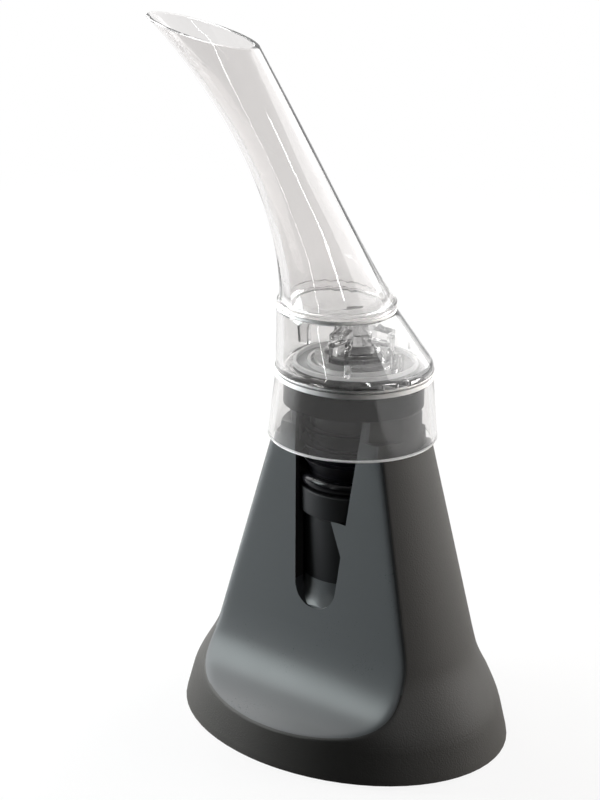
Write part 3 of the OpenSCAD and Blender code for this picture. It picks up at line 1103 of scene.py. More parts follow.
    def cup(self, finish: Paint) -> None:
        """Builds and dresses the drip cup.

        Args:
            finish: Its material.
        """
        low, neck, ease = self.base_top, self.cup_neck, self.cup_round
        bottom = low + self.cup_bottom
        outside = [(0.0, low), (self.post_r, low), (self.post_r, neck - ease), (self.post_r + ease, neck)]
        collar = [(self.cup_collar_r, neck), (self.cup_collar_r, self.cup_top)]
        nose = [(self.nose_bore_r, self.cup_top), (self.nose_bore_r, self.cup_step)]
        bore = [(self.post_bore_r, self.cup_step), (self.post_bore_r, bottom), (0.0, bottom)]
        form = Form.turned(outside + collar + nose + bore)
        form.round_edges(ease)
        form.piece("drip_cup", finish, Body.STAND, "cup_grey")

    def base(self, finish: Paint) -> None:
        """Builds and dresses the base plate with its ring for the cup.

        Args:
            finish: Its material.
        """
        low, top = self.levels.shell_low, self.base_top
        form = self._oval(drawn_in(self.half_axes(top), self.wall + self.fit), low, top)
        inside = self.post_r + self.fit
        socket = Form.tube((inside, inside + self.socket_wall), top - self.socket_sunk, self.socket_top)
        form.carve(socket, Cut.JOIN)
        hollow = drawn_in(self.foot_half, self.pad_margin - self.fit)
        form.carve(self._oval(hollow, low - self.tool_under, self.pad_top), Cut.AWAY)
        form.piece("base_plate", finish, Body.STAND, "base_black")

    def pad(self, finish: Paint) -> None:
        """Builds and dresses the foot pad.

        Args:
            finish: Its material.
        """
        form = self._oval(drawn_in(self.foot_half, self.pad_margin), 0.0, self.pad_top)
        form.round_edges(self.pad_round, 2)
        form.piece("foot_pad", finish, Body.STAND, "pad_rubber")

    def build(self, finishes: Dict[str, Paint]) -> None:
        """Builds the whole stand.

        Args:
            finishes: The materials by record slot or use.
        """
        self.shell(finishes["stand_black"])
        self.cup(finishes["cup_grey"])
        self.base(finishes["base_black"])
        self.pad(finishes["pad_rubber"])


@dataclass
class Stopper:
    """The bottle stopper: head disc, plug, ring, core, return tube and nozzle; in mm and degrees."""

    levels: Levels = field(default_factory=Levels)
    head_r: float = 14.0
    head_round: float = 0.25
    plug_r: float = 8.6
    nose_r: float = 8.4
    nose_cut: float = 0.8
    rib_r: float = 10.1
    rib_h: float = 2.4
    rib_pitch: float = 3.4
    rib_lip: float = 0.15
    rib_drop: Point2 = (0.35, 0.12)  # lower corner and outermost point, under a rib's top
    ribs: int = 3
    plug_low: float = 47.5
    ring_z: float = 53.5
    ring_r: float = 9.1
    ring_half: float = 1.3
    core_r: float = 6.0
    core_up: float = 0.3
    core_round: float = 0.2
    wine_r: float = 3.7
    flange_r: float = 8.0
    flange_t: float = 1.6
    seat: float = 0.05
    return_r: float = 1.3
    return_bore_r: float = 0.8
    return_low: float = 42.5
    return_round: float = 0.12
    nozzle_gap: float = 0.06
    nozzle_foot_r: float = 8.2
    nozzle_foot_t: float = 1.4
    nozzle_wall: float = 1.2
    nozzle_tip_r: float = 3.2
    nozzle_h: float = 8.6
    nozzle_groove_z: Tuple[float, ...] = (3.0, 4.4, 6.4)
    nozzle_groove: Tuple[float, float, float] = (0.35, 0.2, 0.7)  # depth, rise to its bottom and to its end
    throat_r: float = 2.0
    side_hole_r: float = 0.7
    web_turns: Tuple[float, ...] = (-82.0, 8.0, 125.0)
    web_half: float = 1.7
    web_in: float = 4.4
    web_out: float = 7.6
    web_sunk: float = 0.3
    web_drop: Point2 = (1.2, 0.8)  # outer and inner upper corner, under the tip
    near: float = 0.2
    air_x: float = 10.0
    air_groove_half: float = 1.3
    tool_over: float = 1.0
    tool_long: float = 10.0
    hole_half: float = 20.0

    def head(self, finish: Paint) -> None:
        """Builds and dresses the head disc.

        Args:
            finish: Its material.
        """
        low, top = self.levels.collar_top, self.levels.head_top
        inner, flange, plug = (r + self.seat for r in (self.core_r, self.flange_r, self.plug_r))
        half, sunk, past = self.air_groove_half, top - self.flange_t, top + self.tool_over
        step, roof = low + self.flange_t, low + 2 * self.flange_t + self.seat
        near, far = self.air_x - half, self.air_x + half
        profile = [(plug, low), (self.head_r, low), (self.head_r, top)]
        profile += [(far, top), (far, sunk), (near, sunk), (near, top)]
        profile += [(inner, top), (inner, roof), (flange, roof), (flange, step), (plug, step)]
        form = Form.turned(profile)
        corners = ((-half, sunk), (half, sunk), (half, past), (-half, past))
        outline = [Vector((self.air_x, y, z)) for y, z in corners]
        form.carve(Form.prism(outline, Vector((self.tool_long, 0, 0))), Cut.AWAY)
        rim = self.head_r - self.near
        form.round_edges(self.head_round, 3, 60.0, lambda edge: edge.verts[0].co.xy.length > rim)
        form.piece("stopper_head", finish, Body.STOPPER, "head_black")

    def sleeve(self, finish: Paint) -> None:
        """Builds and dresses the ribbed rubber plug.

        Args:
            finish: Its material.
        """
        bore, groove = self.core_r + self.seat, self.ring_half + self.seat
        ends = []
        for radius, side in ((self.nose_r, -1.0), (self.plug_r, 1.0)):
            aside = radius - self.ring_r
            rise = side * math.sqrt(groove**2 - aside**2)
            ends.append(math.degrees(math.atan2(rise, aside)) % 360)
        low = self.plug_low
        profile = [(bore, low), (self.nose_r - self.nose_cut, low), (self.nose_r, low + self.nose_cut)]
        profile += arc((self.ring_r, self.ring_z), groove, *ends, 16)
        lip = self.rib_r - self.rib_lip
        for i in range(1, self.ribs + 1):
            middle = self.ring_z + i * self.rib_pitch
            low, high = middle - self.rib_h / 2, middle + self.rib_h / 2
            profile += [(self.plug_r, low), (lip, high - self.rib_drop[0])]
            profile += [(self.rib_r, high - self.rib_drop[1]), (lip, high), (self.plug_r, high)]
        top = self.levels.collar_top + self.flange_t
        form = Form.turned([*profile, (self.plug_r, top), (bore, top)])
        form.piece("stopper_sleeve", finish, Body.STOPPER, "plug_rubber", 50.0)

    def ring(self, finish: Paint) -> None:
        """Builds and dresses the ring at the end of the plug."""
        form = Form.turned(arc((self.ring_r, self.ring_z), self.ring_half, 0, 360, 32)[:-1])
        form.piece("plug_ring", finish, Body.STOPPER, "plug_rubber", 80.0)

    def core(self, finish: Paint) -> None:
        """Builds and dresses the stiff core.

        Args:
            finish: Its material.
        """
        low, top = self.plug_low + self.core_up, self.levels.floor_top + self.nozzle_h / 4
        step = self.levels.collar_top + self.flange_t
        roof = step + self.flange_t
        profile = [(self.wine_r, low), (self.core_r, low), (self.core_r, step), (self.flange_r, step)]
        profile += [(self.flange_r, roof), (self.core_r, roof), (self.core_r, top), (self.wine_r, top)]
        form = Form.turned(profile)
        form.round_edges(self.core_round, 2)
        form.piece("stopper_core", finish, Body.STOPPER, "core_black")

    def return_tube(self, finish: Paint) -> None:
        """Builds and dresses the air return tube.

        Args:
            finish: Its material.
        """
        where = self.wine_r - self.return_r - self.seat
        radii = (self.return_bore_r, self.return_r)
        form = Form.tube(radii, self.return_low, self.levels.floor_top, 48, where)
        form.round_edges(self.return_round, 2)
        form.piece("air_return_tube", finish, Body.STOPPER, "return_tube")

    def nozzle(self, finish: Paint) -> None:
        """Builds and dresses the nozzle.

        Args:
            finish: Its material.
        """
        base = self.levels.floor_top
        low, seat_top, tip = base + self.nozzle_gap, base + self.nozzle_h / 4, base + self.nozzle_h
        bore, outer = self.core_r + self.seat, self.core_r + self.nozzle_wall

        def wall(z: float) -> float:
            """Outer radius of the nozzle at a height."""
            return outer + (self.nozzle_tip_r - outer) * (z - low) / (tip - low)

        foot_top = low + self.nozzle_foot_t
        profile = [(bore, low), (self.nozzle_foot_r, low), (self.nozzle_foot_r, foot_top)]
        profile += [(wall(foot_top), foot_top)]
        sunk, corner, end = self.nozzle_groove
        for z in (base + rise for rise in self.nozzle_groove_z):
            profile += [(wall(z), z), (wall(z) - sunk, z + corner), (wall(z + end), z + end)]
        profile += [(wall(tip), tip), (self.throat_r, tip), (self.wine_r, seat_top), (bore, seat_top)]
        form = Form.turned(profile)
        corners = [(self.web_in, foot_top - self.web_sunk), (self.web_out, foot_top - self.web_sunk)]
        corners += [(self.web_out, tip - self.web_drop[0]), (self.web_in, tip - self.web_drop[1])]
        for turn in self.web_turns:
            form.carve(Form.fin(level_way(turn), self.web_half, corners), Cut.JOIN)
        middle = Vector((0, 0, (seat_top + tip) / 2))
        for way in (Vector((self.hole_half, 0, 0)), Vector((0, self.hole_half, 0))):
            form.carve(Form.rod(self.side_hole_r, middle - way, middle + way, 32), Cut.AWAY)
        body_r, foot_z = self.web_in + self.near, foot_top + self.near

        def milkiness(face: Face) -> float:
            """How milky a face is: body and foot a little, the bars not."""
            middle = face.calc_center_median()
            return 1.0 if middle.xy.length < body_r or middle.z < foot_z else 0.0

        form.piece("venturi_nozzle", finish, Body.STOPPER, "clear_plastic", 30.0, milkiness)

    def build(self, finishes: Dict[str, Paint]) -> None:
        """Builds the whole stopper.

        Args:
            finishes: The materials by record slot or use.
        """
        self.head(finishes["head_black"])
        self.sleeve(finishes["plug_rubber"])
        self.ring(finishes["ring_rubber"])
        self.core(finishes["core_black"])
        self.return_tube(finishes["return_tube"])
        self.nozzle(finishes["clear_nozzle"])


@dataclass
class ClearHead:
    """The clear head: bell housing, chamber floor, air tube, gasket and spout; in mm and degrees."""

    levels: Levels = field(default_factory=Levels)
    rim_r: float = 17.0
    rim: float = 0.35
    rim_ease: float = 0.1
    rim_inside: float = 0.2
    shoulder_r: float = 15.65
    shoulder_ease: Point2 = (0.04, 0.2)  # inset and drop
    wall: float = 1.3
    neck_r: float = 11.9
    neck_round: float = 0.2
    neck_shift: float = 4.8
    cone_shares: Tuple[float, ...] = (0.03, 0.06, 0.3, 0.6, 0.9, 0.98)
    inner_shares: Tuple[float, ...] = (1.0, 0.9, 0.6, 0.3, 0.03)
    weld_proud: float = 0.12
    weld_foot: float = 0.06
    weld_ease: float = 0.1
    weld_drop: Point2 = (0.4, 0.7)  # lower edge under the head's top, upper edge under the floor's top
    weld_lines: Point2 = (0.9, 0.3)  # height of the lower and of the upper line
    weld_milk: Tuple[float, ...] = (1.3, 0.4, 1.4)  # lower line, band and upper line
    rim_milk: float = 1.5
    rib_milk: float = 0.3
    rib_half: float = 0.7
    rib_in: float = 2.6
    rib_h: float = 5.0
    rib_up: float = 0.3
    rib_round: float = 0.5
    rib_slack: float = 0.02
    rib_span: Point2 = (0.1, 4.0)  # least and greatest distance from the wall's inside
    rib_turns: Tuple[float, ...] = (-60.0, 60.0, 180.0)
    floor_bore_r: float = 6.06
    floor_milk: Point2 = (1.2, 0.6)  # on the rings and on the upper side
    floor_near: float = 0.1
    ring_h: float = 0.7
    ring_w: float = 0.8
    ring_draft: float = 0.1
    ring_outer: Tuple[float, ...] = (9.6, 12.45)
    frost_r: float = 10.8
    seat: float = 0.05
    air_x: float = 10.0
    air_r: float = 1.3
    air_bore_r: float = 0.7
    air_h: float = 3.4
    soft_round: float = 0.15
    hole_past: Point2 = (2.0, 4.0)  # how far the tool passes below and above
    seal_gap: float = 0.02
    seal_hole_r: float = 8.4
    seal_aside: Point2 = (-1.34, 1.74)  # how far the hole lies off the ring's middle
    spout_bore_r: float = 9.6
    spout_edge: float = 0.25
    spout_sunk: float = 0.4
    tube_foot_r: float = 11.4
    tube_foot_out: float = 0.1
    tube_half: float = 6.6
    tube_wall: float = 1.1
    tube_steps: int = 48
    foot_wall: float = 0.7
    foot_fade: float = 9.0
    flare: float = 10.0
    foot_haze: float = 5.0
    tip: Point2 = (-54.1, 50.7)  # along, and up from the tube's foot
    under_guide: Point2 = (-21.7, 29.8)  # along, and up from the tube's foot
    mouth_len: float = 28.2
    mouth_tilt: float = 8.9
    mouth_slant: float = 0.23
    mouth_near: float = 0.997
    mouth_lip: float = 0.2
    sides: int = 96

    def circle(self, radius: float, z: float, shift: float = 0.0) -> List[Vector]:
        """A level ring, which may be moved to the pouring side."""
        angles = [math.tau * i / self.sides for i in range(self.sides)]
        return [Vector((radius * math.cos(a) - shift, radius * math.sin(a), z)) for a in angles]

    def cone_ring(self, share: float, inset: float) -> List[Vector]:
        """A ring of the slanted cone between shoulder and neck.

        Args:
            share: 0 at the shoulder, 1 at the neck.
            inset: How far it is drawn in.

        Returns:
            Its points.
        """
        z = between(self.levels.shoulder_top, self.levels.neck, share)
        radius = between(self.shoulder_r, self.neck_r, share) - inset
        return self.circle(radius, z, self.neck_shift * share)

    def bell(self, finish: Paint) -> None:
        """Builds and dresses the bell housing.

        Args:
            finish: Its material.
        """
        levels, rim_top = self.levels, self.levels.ledge + self.rim
        weld_low, weld_top = levels.head_top - self.weld_drop[0], levels.floor_top - self.weld_drop[1]
        weld_rows = (weld_low, weld_low + self.weld_lines[0], weld_top - self.weld_lines[1], weld_top)
        rib_ways = [level_way(turn) for turn in self.rib_turns]

        def milkiness(face: Face) -> float:
            """How milky a face is: the weld band, its two lines, the ribs and the rim of the skirt.

            Args:
                face: The face.

            Returns:
                The mark that the finish reads.
            """
            middle = face.calc_center_median()
            if middle.z < rim_top:
                return self.rim_milk
            if any(self._on_rib(middle, way) for way in rib_ways):
                return self.rib_milk
            if middle.xy.length < self.shoulder_r:
                return 0.0
            for row, milk in enumerate(self.weld_milk):
                if weld_rows[row] < middle.z < weld_rows[row + 1]:
                    return milk
            return 0.0

        shoulder_in, shoulder_down = self.shoulder_ease
        outer = [
            self.circle(self.rim_r - self.rim, levels.ledge),
            self.circle(self.rim_r - self.rim_ease, levels.ledge + self.rim_ease),
            self.circle(self.rim_r, rim_top),
            self.circle(self.shoulder_r + self.weld_foot, weld_low - self.weld_ease),
            *[self.circle(self.shoulder_r + self.weld_proud, z) for z in weld_rows],
            self.circle(self.shoulder_r, weld_top + self.weld_ease),
            self.circle(self.shoulder_r - shoulder_in, levels.shoulder_top - shoulder_down),
            *[self.cone_ring(share, 0.0) for share in self.cone_shares],
            self.cone_ring(1.0, self.neck_round),
        ]
        inner = [
            *[self.cone_ring(share, self.wall) for share in self.inner_shares],
            self.circle(self.shoulder_r - self.wall, levels.shoulder_top),
            self.circle(self.shoulder_r - self.wall, levels.head_top),
            self.circle(self.rim_r - self.wall, rim_top),
            self.circle(self.rim_r - self.wall + self.rim_inside, levels.ledge),
        ]
        form = Form.lofted(outer + inner, ends=False)
        for way in rib_ways:
            form.carve(self._rib(way), Cut.JOIN)
        form.piece("bell_housing", finish, Body.HOUSING, "clear_plastic", 35.0, milkiness)

    def wall_at(self, z: float, way: Vector) -> float:
        """Where the middle of the slanted wall lies.

        Args:
            z: The height.
            way: The direction, level and of length 1.

        Returns:
            Its distance from the axis.
        """
        share = (z - self.levels.shoulder_top) / (self.levels.neck - self.levels.shoulder_top)
        radius = between(self.shoulder_r, self.neck_r, share) - self.wall / 2
        shift = self.neck_shift * share
        along = -shift * way.x
        return along + math.sqrt(radius**2 - shift**2 + along**2)

    def _on_rib(self, point: Vector, way: Vector) -> bool:
        """Whether a point of the bell lies on a rib.

        Args:
            point: The point.
            way: The direction in which the rib stands.

        Returns:
            True on the rib's sides, ends and front.
        """
        inside = self.wall_at(point.z, way) - self.wall / 2 - point.dot(way)
        beside = abs(point.cross(way).z) < self.rib_half + self.rib_slack
        return point.z > self.levels.floor_top and beside and self.rib_span[0] < inside < self.rib_span[1]

    def _rib(self, way: Vector) -> Form:
        """One inner rib of the bell housing.

        Args:
            way: The direction in which it stands.

        Returns:
            The rib, with its back inside the wall.
        """
        low = self.levels.floor_top + self.ring_h + self.rib_up
        front = self.shoulder_r - self.wall - self.rib_in
        top, step = low + self.rib_h, 0.1
        while self.wall_at(top, way) < front + self.wall:
            top -= step
        corners = [(front, low), (self.wall_at(low, way), low), (self.wall_at(top, way), top), (front, top)]
        form = Form.fin(way, self.rib_half, corners)
        form.round_edges(self.rib_round)
        return form

    def floor(self, finish: Paint) -> None:
        """Builds and dresses the chamber floor with its rings.

        Args:
            finish: Its material.
        """
        low, top = self.levels.head_top, self.levels.floor_top
        outer, draft, ring_top = self.shoulder_r - self.wall - self.seat, self.ring_draft, top + self.ring_h
        profile = [(self.floor_bore_r, low), (outer, low), (outer, top)]
        for radius in reversed(self.ring_outer):
            inside = radius - self.ring_w
            profile += [(radius, top), (radius - draft, ring_top), (inside + draft, ring_top), (inside, top)]
        form = Form.turned([*profile, (self.floor_bore_r, top)])
        ends = (low - self.hole_past[0], top + self.hole_past[1])
        start, end = (Vector((self.air_x, 0, z)) for z in ends)
        form.carve(Form.rod(self.air_r + self.seat, start, end, 48), Cut.AWAY)

        def milkiness(face: Face) -> float:
            """How milky a face is: most on the rings, less on the upper side within them.

            Args:
                face: The face.

            Returns:
                The mark that the finish reads.
            """
            middle = face.calc_center_median()
            if middle.z > top + self.floor_near:
                return self.floor_milk[0]
            upper = middle.z > top - self.floor_near
            return self.floor_milk[1] if upper and middle.xy.length < self.frost_r else 0.0

        form.piece("chamber_floor", finish, Body.HOUSING, "clear_plastic", 30.0, milkiness)

    def air_tube(self, finish: Paint) -> None:
        """Builds and dresses the air intake tube.

        Args:
            finish: Its material.
        """
        low, top = self.levels.head_top, self.levels.floor_top + self.air_h
        form = Form.tube((self.air_bore_r, self.air_r), low, top, 64, self.air_x)
        form.round_edges(self.soft_round, 2)
        form.piece("air_intake_tube", finish, Body.HOUSING, "clear_plastic")

    def gasket(self, finish: Paint) -> None:
        """Builds and dresses the soft ring on the neck.

        Args:
            finish: Its material.
        """
        low, top = self.levels.neck + self.seal_gap, self.levels.spout_low - self.seal_gap
        aside = Vector((*self.seal_aside, 0.0))
        rings = [self.circle(self.neck_r, z, self.neck_shift) for z in (low, top)]
        for z in (top, low):
            rings.append([point + aside for point in self.circle(self.seal_hole_r, z, self.neck_shift)])
        form = Form.lofted(rings, ends=False)
        form.round_edges(self.soft_round, 2)
        form.piece("neck_gasket", finish, Body.HOUSING, "soft_clear")

    def edges(self, share: float) -> Tuple[Vector, Vector]:
        """Lower and upper edge of the tube in the middle plane.

        Args:
            share: 0 at the foot, 1 at the mouth.

        Returns:
            Both points, as along and up.
        """
        low = self.levels.tube_low
        tip = Vector((self.tip[0], low + self.tip[1]))
        tilt = math.radians(self.mouth_tilt)
        mouth = tip + self.mouth_len * Vector((math.cos(tilt), -math.sin(tilt)))
        under_foot = Vector((-self.neck_shift - self.tube_foot_r, low))
        over_foot = Vector((-self.neck_shift + self.tube_foot_r, low))
        under_mid = Vector((self.under_guide[0], low + self.under_guide[1]))
        over_mid = over_foot + (mouth - over_foot) * self.under_guide[1] / self.tip[1]
        back = 1.0 - share
        under = back * back * under_foot + 2 * share * back * under_mid + share * share * tip
        over = back * back * over_foot + 2 * share * back * over_mid + share * share * mouth
        return under, over

    def tube_ring(self, share: float, inset: float) -> List[Vector]:
        """One ring of the spout's tube.

        Args:
            share: 0 at the foot, 1 at the mouth.
            inset: How far it is drawn in, square to the wall.

        Returns:
            Its points.
        """
        under, over = self.edges(share)
        middle, half = (under + over) / 2, (over - under) / 2
        rise = under.y - self.levels.tube_low
        width = self.tube_half + (self.tube_foot_r - self.tube_half) * math.exp(-rise / self.flare) - inset
        slant = 1.0 + self.mouth_slant * share
        half = half * (1.0 - inset * slant / half.length)
        points = []
        for i in range(self.sides):
            turn = math.tau * i / self.sides
            along = middle + half * math.cos(turn)
            points.append(Vector((along.x, width * math.sin(turn), along.y)))
        return points

    def spout(self, finish: Paint) -> None:
        """Builds and dresses the spout with its flange.

        Args:
            finish: Its material.
        """
        shift, edge = self.neck_shift, self.spout_edge
        low, top = self.levels.spout_low, self.levels.tube_low
        shares = [i / self.tube_steps for i in range(1, self.tube_steps)]

        def wall(share: float) -> float:
            """Wall of the tube, thicker at its foot."""
            rise = self.edges(share)[0].y - top
            return self.tube_wall + self.foot_wall * math.exp(-rise / self.foot_fade)

        outer = [
            self.circle(self.neck_r - edge, low, shift),
            self.circle(self.neck_r, low + edge, shift),
            self.circle(self.neck_r, top - edge, shift),
            self.circle(self.neck_r - edge, top, shift),
            self.tube_ring(0.0, -self.tube_foot_out),
            *[self.tube_ring(share, 0.0) for share in shares],
            self.tube_ring(self.mouth_near, 0.0),
            self.tube_ring(1.0, edge),
        ]
        inner = [
            self.tube_ring(1.0, self.tube_wall - self.mouth_lip),
            self.tube_ring(self.mouth_near, self.tube_wall),
            *[self.tube_ring(share, wall(share)) for share in reversed(shares)],
            self.circle(self.spout_bore_r, top - self.spout_sunk, shift),
            self.circle(self.spout_bore_r, low, shift),
        ]
        form = Form.lofted(outer + inner, ends=False)

        def milkiness(face: Face) -> float:
            """How milky a face is: most at the flange, fading up the tube."""
            rise = face.calc_center_median().z - top
            return max(0.0, min(1.0, 1.0 - rise / self.foot_haze))

        form.piece("spout", finish, Body.HOUSING, "clear_plastic", 35.0, milkiness)

    def build(self, finishes: Dict[str, Paint]) -> None:
        """Builds the whole clear head.

        Args:
            finishes: The materials by record slot or use.
        """
        self.bell(finishes["clear_plastic"])
        self.floor(finishes["clear_floor"])
        self.air_tube(finishes["clear_inner"])
        self.gasket(finishes["soft_clear"])
        self.spout(finishes["clear_spout"])


@dataclass(frozen=True)
class SoftBox:
    """A rectangular studio lamp, with its sizes in metres."""

    name: str
    place: Point3
    aim: Point3
    size: Point2
    power: float
    shows: Shows
    colour: Colour = WHITE

    def hang(self) -> None:
        """Puts the lamp in the scene."""
        lamp = bpy.data.lights.new(self.name, "AREA")
        lamp.shape = "RECTANGLE"
        lamp.size, lamp.size_y = self.size
        lamp.energy = self.power
        lamp.color = self.colour
        made = bpy.data.objects.new(self.name, lamp)
        made.visible_glossy = Shows.GLOSS in self.shows
        made.visible_transmission = Shows.CLEAR in self.shows
        made.visible_diffuse = Shows.MATT in self.shows
        place = Vector(self.place)
        made.location = place
        made.rotation_euler = (Vector(self.aim) - place).to_track_quat("-Z", "Y").to_euler()
        bpy.context.scene.collection.objects.link(made)


@dataclass
class Studio:
    """The pale floor, the white surround, the lamps and the camera."""

    azimuth: float = 37.6
    elevation: float = 19.54
    distance: float = 400.0
    roll: float = 1.24
    aim: Point2 = (-10.66, 68.91)
    focal_px: float = 2007.1
    image_high: int = 800
    sensor: float = 36.0
    clip: float = 0.01
    ambient: float = 0.06
    far_white: Tuple[Point2, Point2] = ((0.0, 0.6), (0.3, 0.6))  # towards the back and the right
    floor_white: Tuple[Point2, Point2] = ((-0.12, 0.3), (0.24, 0.3))  # towards the back and the right
    floor_glow: float = 0.86
    floor_fade: Point2 = (0.15, 0.5)  # where the glow starts to rise and is full
    floor_tones: Point2 = (0.02, 0.9)  # where it isn't shown as white, and where it is
    floor_half: float = 3.0
    lamps: Tuple[SoftBox, ...] = (
        SoftBox("key_left", (-0.30, -0.26, 0.33), (0.0, 0.0, 0.03), (0.17, 0.26), 1.35, Shows.BRIGHT, CYAN),
        SoftBox("low_left", (-0.40, -0.22, 0.07), (0.0, 0.0, 0.03), (0.2, 0.1), 1.6, Shows.MATT, COOL),
        SoftBox("fill_left", (-0.2, -0.09, 0.05), (0.0, -0.02, 0.04), (0.1, 0.09), 0.62, Shows.MATT, COOL),
        SoftBox("strip_right", (0.575, -0.351, 0.42), (0.0, 0.0, 0.09), (0.045, 0.6), 1.7, Shows.GLOSS),
        SoftBox("strip_left", (-0.06, -0.67, 0.42), (0.0, 0.0, 0.09), (0.012, 0.6), 0.4, Shows.GLOSS),
        SoftBox("side_left", (-0.64, 0.12, 0.09), (0.0, 0.0, 0.05), (0.9, 0.22), 12.0, Shows.MATT),
        SoftBox("side_right", (0.45, 0.76, 0.16), (0.0, 0.0, 0.05), (1.6, 0.4), 32.0, Shows.MATT, WARM),
        SoftBox("high_left", (-0.62, 0.12, 0.5), (0.0, 0.0, 0.08), (0.9, 0.7), 8.0, Shows.BRIGHT),
        SoftBox("high_right", (0.40, 0.66, 0.55), (0.0, 0.0, 0.08), (1.2, 0.9), 7.5, Shows.BRIGHT),
        SoftBox("top", (-0.05, 0.25, 0.9), (0.0, 0.0, 0.08), (0.8, 0.8), 0.6, Shows.MATT | Shows.GLOSS),
    )

    def along(self, graph: Graph, way: Point3, span: Point2) -> Wire:
        """A soft step along a direction.

        Args:
            graph: The graph to work in.
            way: The direction.
            span: Distances at which the step starts and ends.

        Returns:
            0 before the step, 1 past it.
        """
        feeds = {0: graph.place(), 1: way}
        far = graph.node("ShaderNodeVectorMath", {"operation": "DOT_PRODUCT"}, feeds, "Value")
        return graph.ease(far, (span[0], 0.0), (span[1], 1.0))

    def shown_white(self, graph: Graph, spans: Tuple[Point2, Point2]) -> Wire:
        """Where the surround shows as white.

        Args:
            graph: The graph of the floor or of the world.
            spans: Where the white that gloss shows starts and is full, towards the back and the right.

        Returns:
            1 for what is seen directly, through clear plastic or as gloss of the back and the right.
        """
        rays = ("Camera", "Transmission", "Glossy")
        camera, through, gloss = (graph.node("ShaderNodeLightPath", out=f"Is {ray} Ray") for ray in rays)
        turn = math.radians(self.azimuth)
        back = self.along(graph, (-math.sin(turn), math.cos(turn), 0.0), spans[0])
        right = self.along(graph, (math.cos(turn), math.sin(turn), 0.0), spans[1])
        return camera | through | gloss * (back | right)

    def surround(self) -> None:
        """Sets up the white world."""
        world = bpy.data.worlds.new("surround")
        bpy.context.scene.world = world
        graph = Graph(world)
        soft, white = (
            graph.node("ShaderNodeBackground", None, {"Color": (*WHITE, 1.0), "Strength": strength})
            for strength in (self.ambient, 1.0)
        )
        both = graph.mixed(self.shown_white(graph, self.far_white), soft, white)
        graph.node("ShaderNodeOutputWorld", None, {"Surface": both})

    def floor(self) -> None:
        """Lays the pale floor, which keeps the shadow."""
        made = bpy.data.materials.new("pale_floor")
        graph = Graph(made)
        seen = self.shown_white(graph, self.floor_white)
        dark, pale = ((tone, tone, tone) for tone in self.floor_tones)
        paint = graph.node("ShaderNodeBsdfDiffuse", None, {"Color": graph.blend(seen, dark, pale)})
        glow = graph.node("ShaderNodeEmission", None, {"Color": (*WHITE, 1.0), "Strength": 1.0})
        reach = graph.node("ShaderNodeVectorMath", {"operation": "LENGTH"}, {0: graph.place()}, "Value")
        near, far = self.floor_fade
        graph.surface(graph.mixed(seen * graph.ease(reach, (near, self.floor_glow), (far, 1.0)), paint, glow))
        form = bmesh.new()
        bmesh.ops.create_grid(form, x_segments=1, y_segments=1, size=self.floor_half)
        mesh = bpy.data.meshes.new("floor")
        form.to_mesh(mesh)
        form.free()
        mesh.materials.append(made)
        floor = bpy.data.objects.new("floor", mesh)
        bpy.context.scene.collection.objects.link(floor)

    def camera(self) -> None:
        """Puts the camera at the photograph's place."""
        azimuth, elevation, roll = (math.radians(a) for a in (self.azimuth, self.elevation, self.roll))
        level = math.cos(elevation)
        back = Vector((math.sin(azimuth) * level, -math.cos(azimuth) * level, math.sin(elevation)))
        right = Vector((math.cos(azimuth), math.sin(azimuth), 0.0))
        up = back.cross(right)
        where = right * self.aim[0] + Vector((0, 0, self.aim[1])) + back * self.distance
        turned_right = right * math.cos(roll) + up * math.sin(roll)
        turned_up = up * math.cos(roll) - right * math.sin(roll)
        lens = bpy.data.cameras.new("camera")
        lens.sensor_width = self.sensor
        lens.lens = self.focal_px / self.image_high * self.sensor
        lens.clip_start = self.clip
        made = bpy.data.objects.new("camera", lens)
        axes = Matrix((turned_right, turned_up, back)).transposed().to_4x4()
        made.matrix_world = Matrix.Translation(where * MM) @ axes
        bpy.context.scene.collection.objects.link(made)
        bpy.context.scene.camera = made

    def build(self) -> None:
        """Sets up everything around the object."""
        self.surround()
        self.floor()
        for lamp in self.lamps:
            lamp.hang()
        self.camera()
        bpy.context.scene.view_settings.view_transform = "Standard"


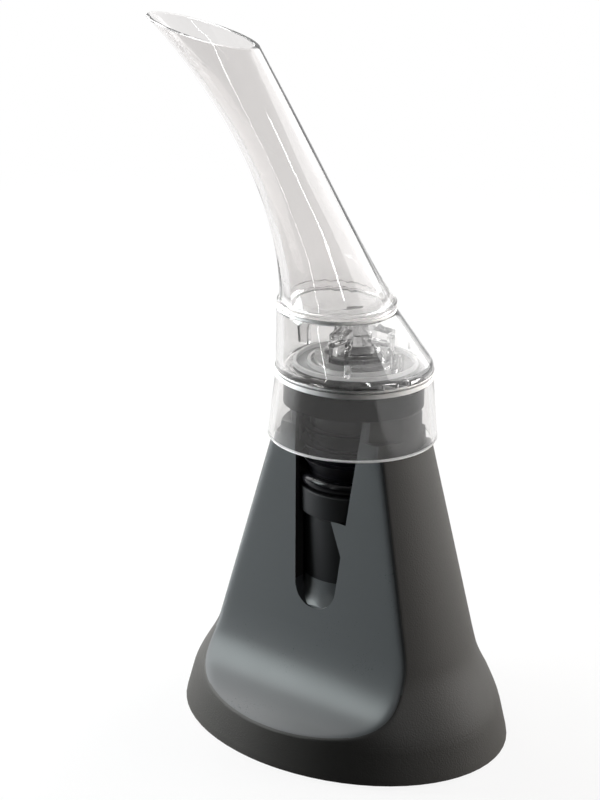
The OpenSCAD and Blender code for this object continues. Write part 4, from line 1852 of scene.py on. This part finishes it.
def make_finishes() -> Dict[str, Paint]:
    """Makes all materials.

    Returns:
        The materials by record slot or use.
    """
    streaks = {"ripple": 0.35, "ripple_mm": 2.4, "longer": 16.0, "lean_deg": 37.0}
    finishes: Dict[str, Finish] = {
        "clear_plastic": ClearPlastic("clear_housing", (0.875, 0.867, 0.861), index=1.6, frost=0.6),
        "clear_inner": ClearPlastic("clear_inner", (0.92, 0.92, 0.92), ripple=0.05),
        "clear_floor": ClearPlastic("clear_floor", (0.95, 0.95, 0.95), ripple=0.05, frost=0.7),
        "clear_nozzle": ClearPlastic("clear_nozzle", (0.95, 0.95, 0.95), ripple=0.05, frost=0.25),
        "clear_spout": ClearPlastic("clear_spout", (0.84, 0.826, 0.82), frost=0.08, **streaks),
        "stand_black": StandPlastic("stand_plastic_face_sheen_painted"),
        "cup_grey": PlainPlastic("cup_plastic", (0.012, 0.0125, 0.0135), 0.5, specular=0.25),
        "base_black": PlainPlastic("base_plastic", (0.015, 0.015, 0.016), 0.6),
        "pad_rubber": PlainPlastic("pad_rubber", (0.015, 0.015, 0.015), 0.75, 0.6, 0.4, 0.25),
        "head_black": PlainPlastic("head_plastic", (0.004, 0.004, 0.004), 0.5, specular=0.06),
        "plug_rubber": PlainPlastic("plug_rubber", (0.004, 0.004, 0.005), 0.3, 0.5, 0.05, 0.25),
        "ring_rubber": PlainPlastic("ring_rubber", (0.003, 0.003, 0.004), 0.2, 0.5, 0.03, 0.3),
        "core_black": PlainPlastic("core_plastic", (0.02, 0.02, 0.022), 0.3),
        "return_tube": ClearPlastic("return_tube", (0.9, 0.9, 0.9), ripple=0.03),
        "soft_clear": MilkySoft("soft_ring"),
    }
    return {slot: finish.material() for slot, finish in finishes.items()}


def main() -> None:
    """Builds the pieces in order and reports them."""
    logging.basicConfig(level=logging.INFO, format="%(name)s: %(message)s")
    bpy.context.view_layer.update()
    finishes = make_finishes()
    for assembly in (Stand(), Stopper(), ClearHead()):
        assembly.build(finishes)
        LOG.info("%s done", type(assembly).__name__)
    Studio().build()


if __name__ == "__main__":
    main()
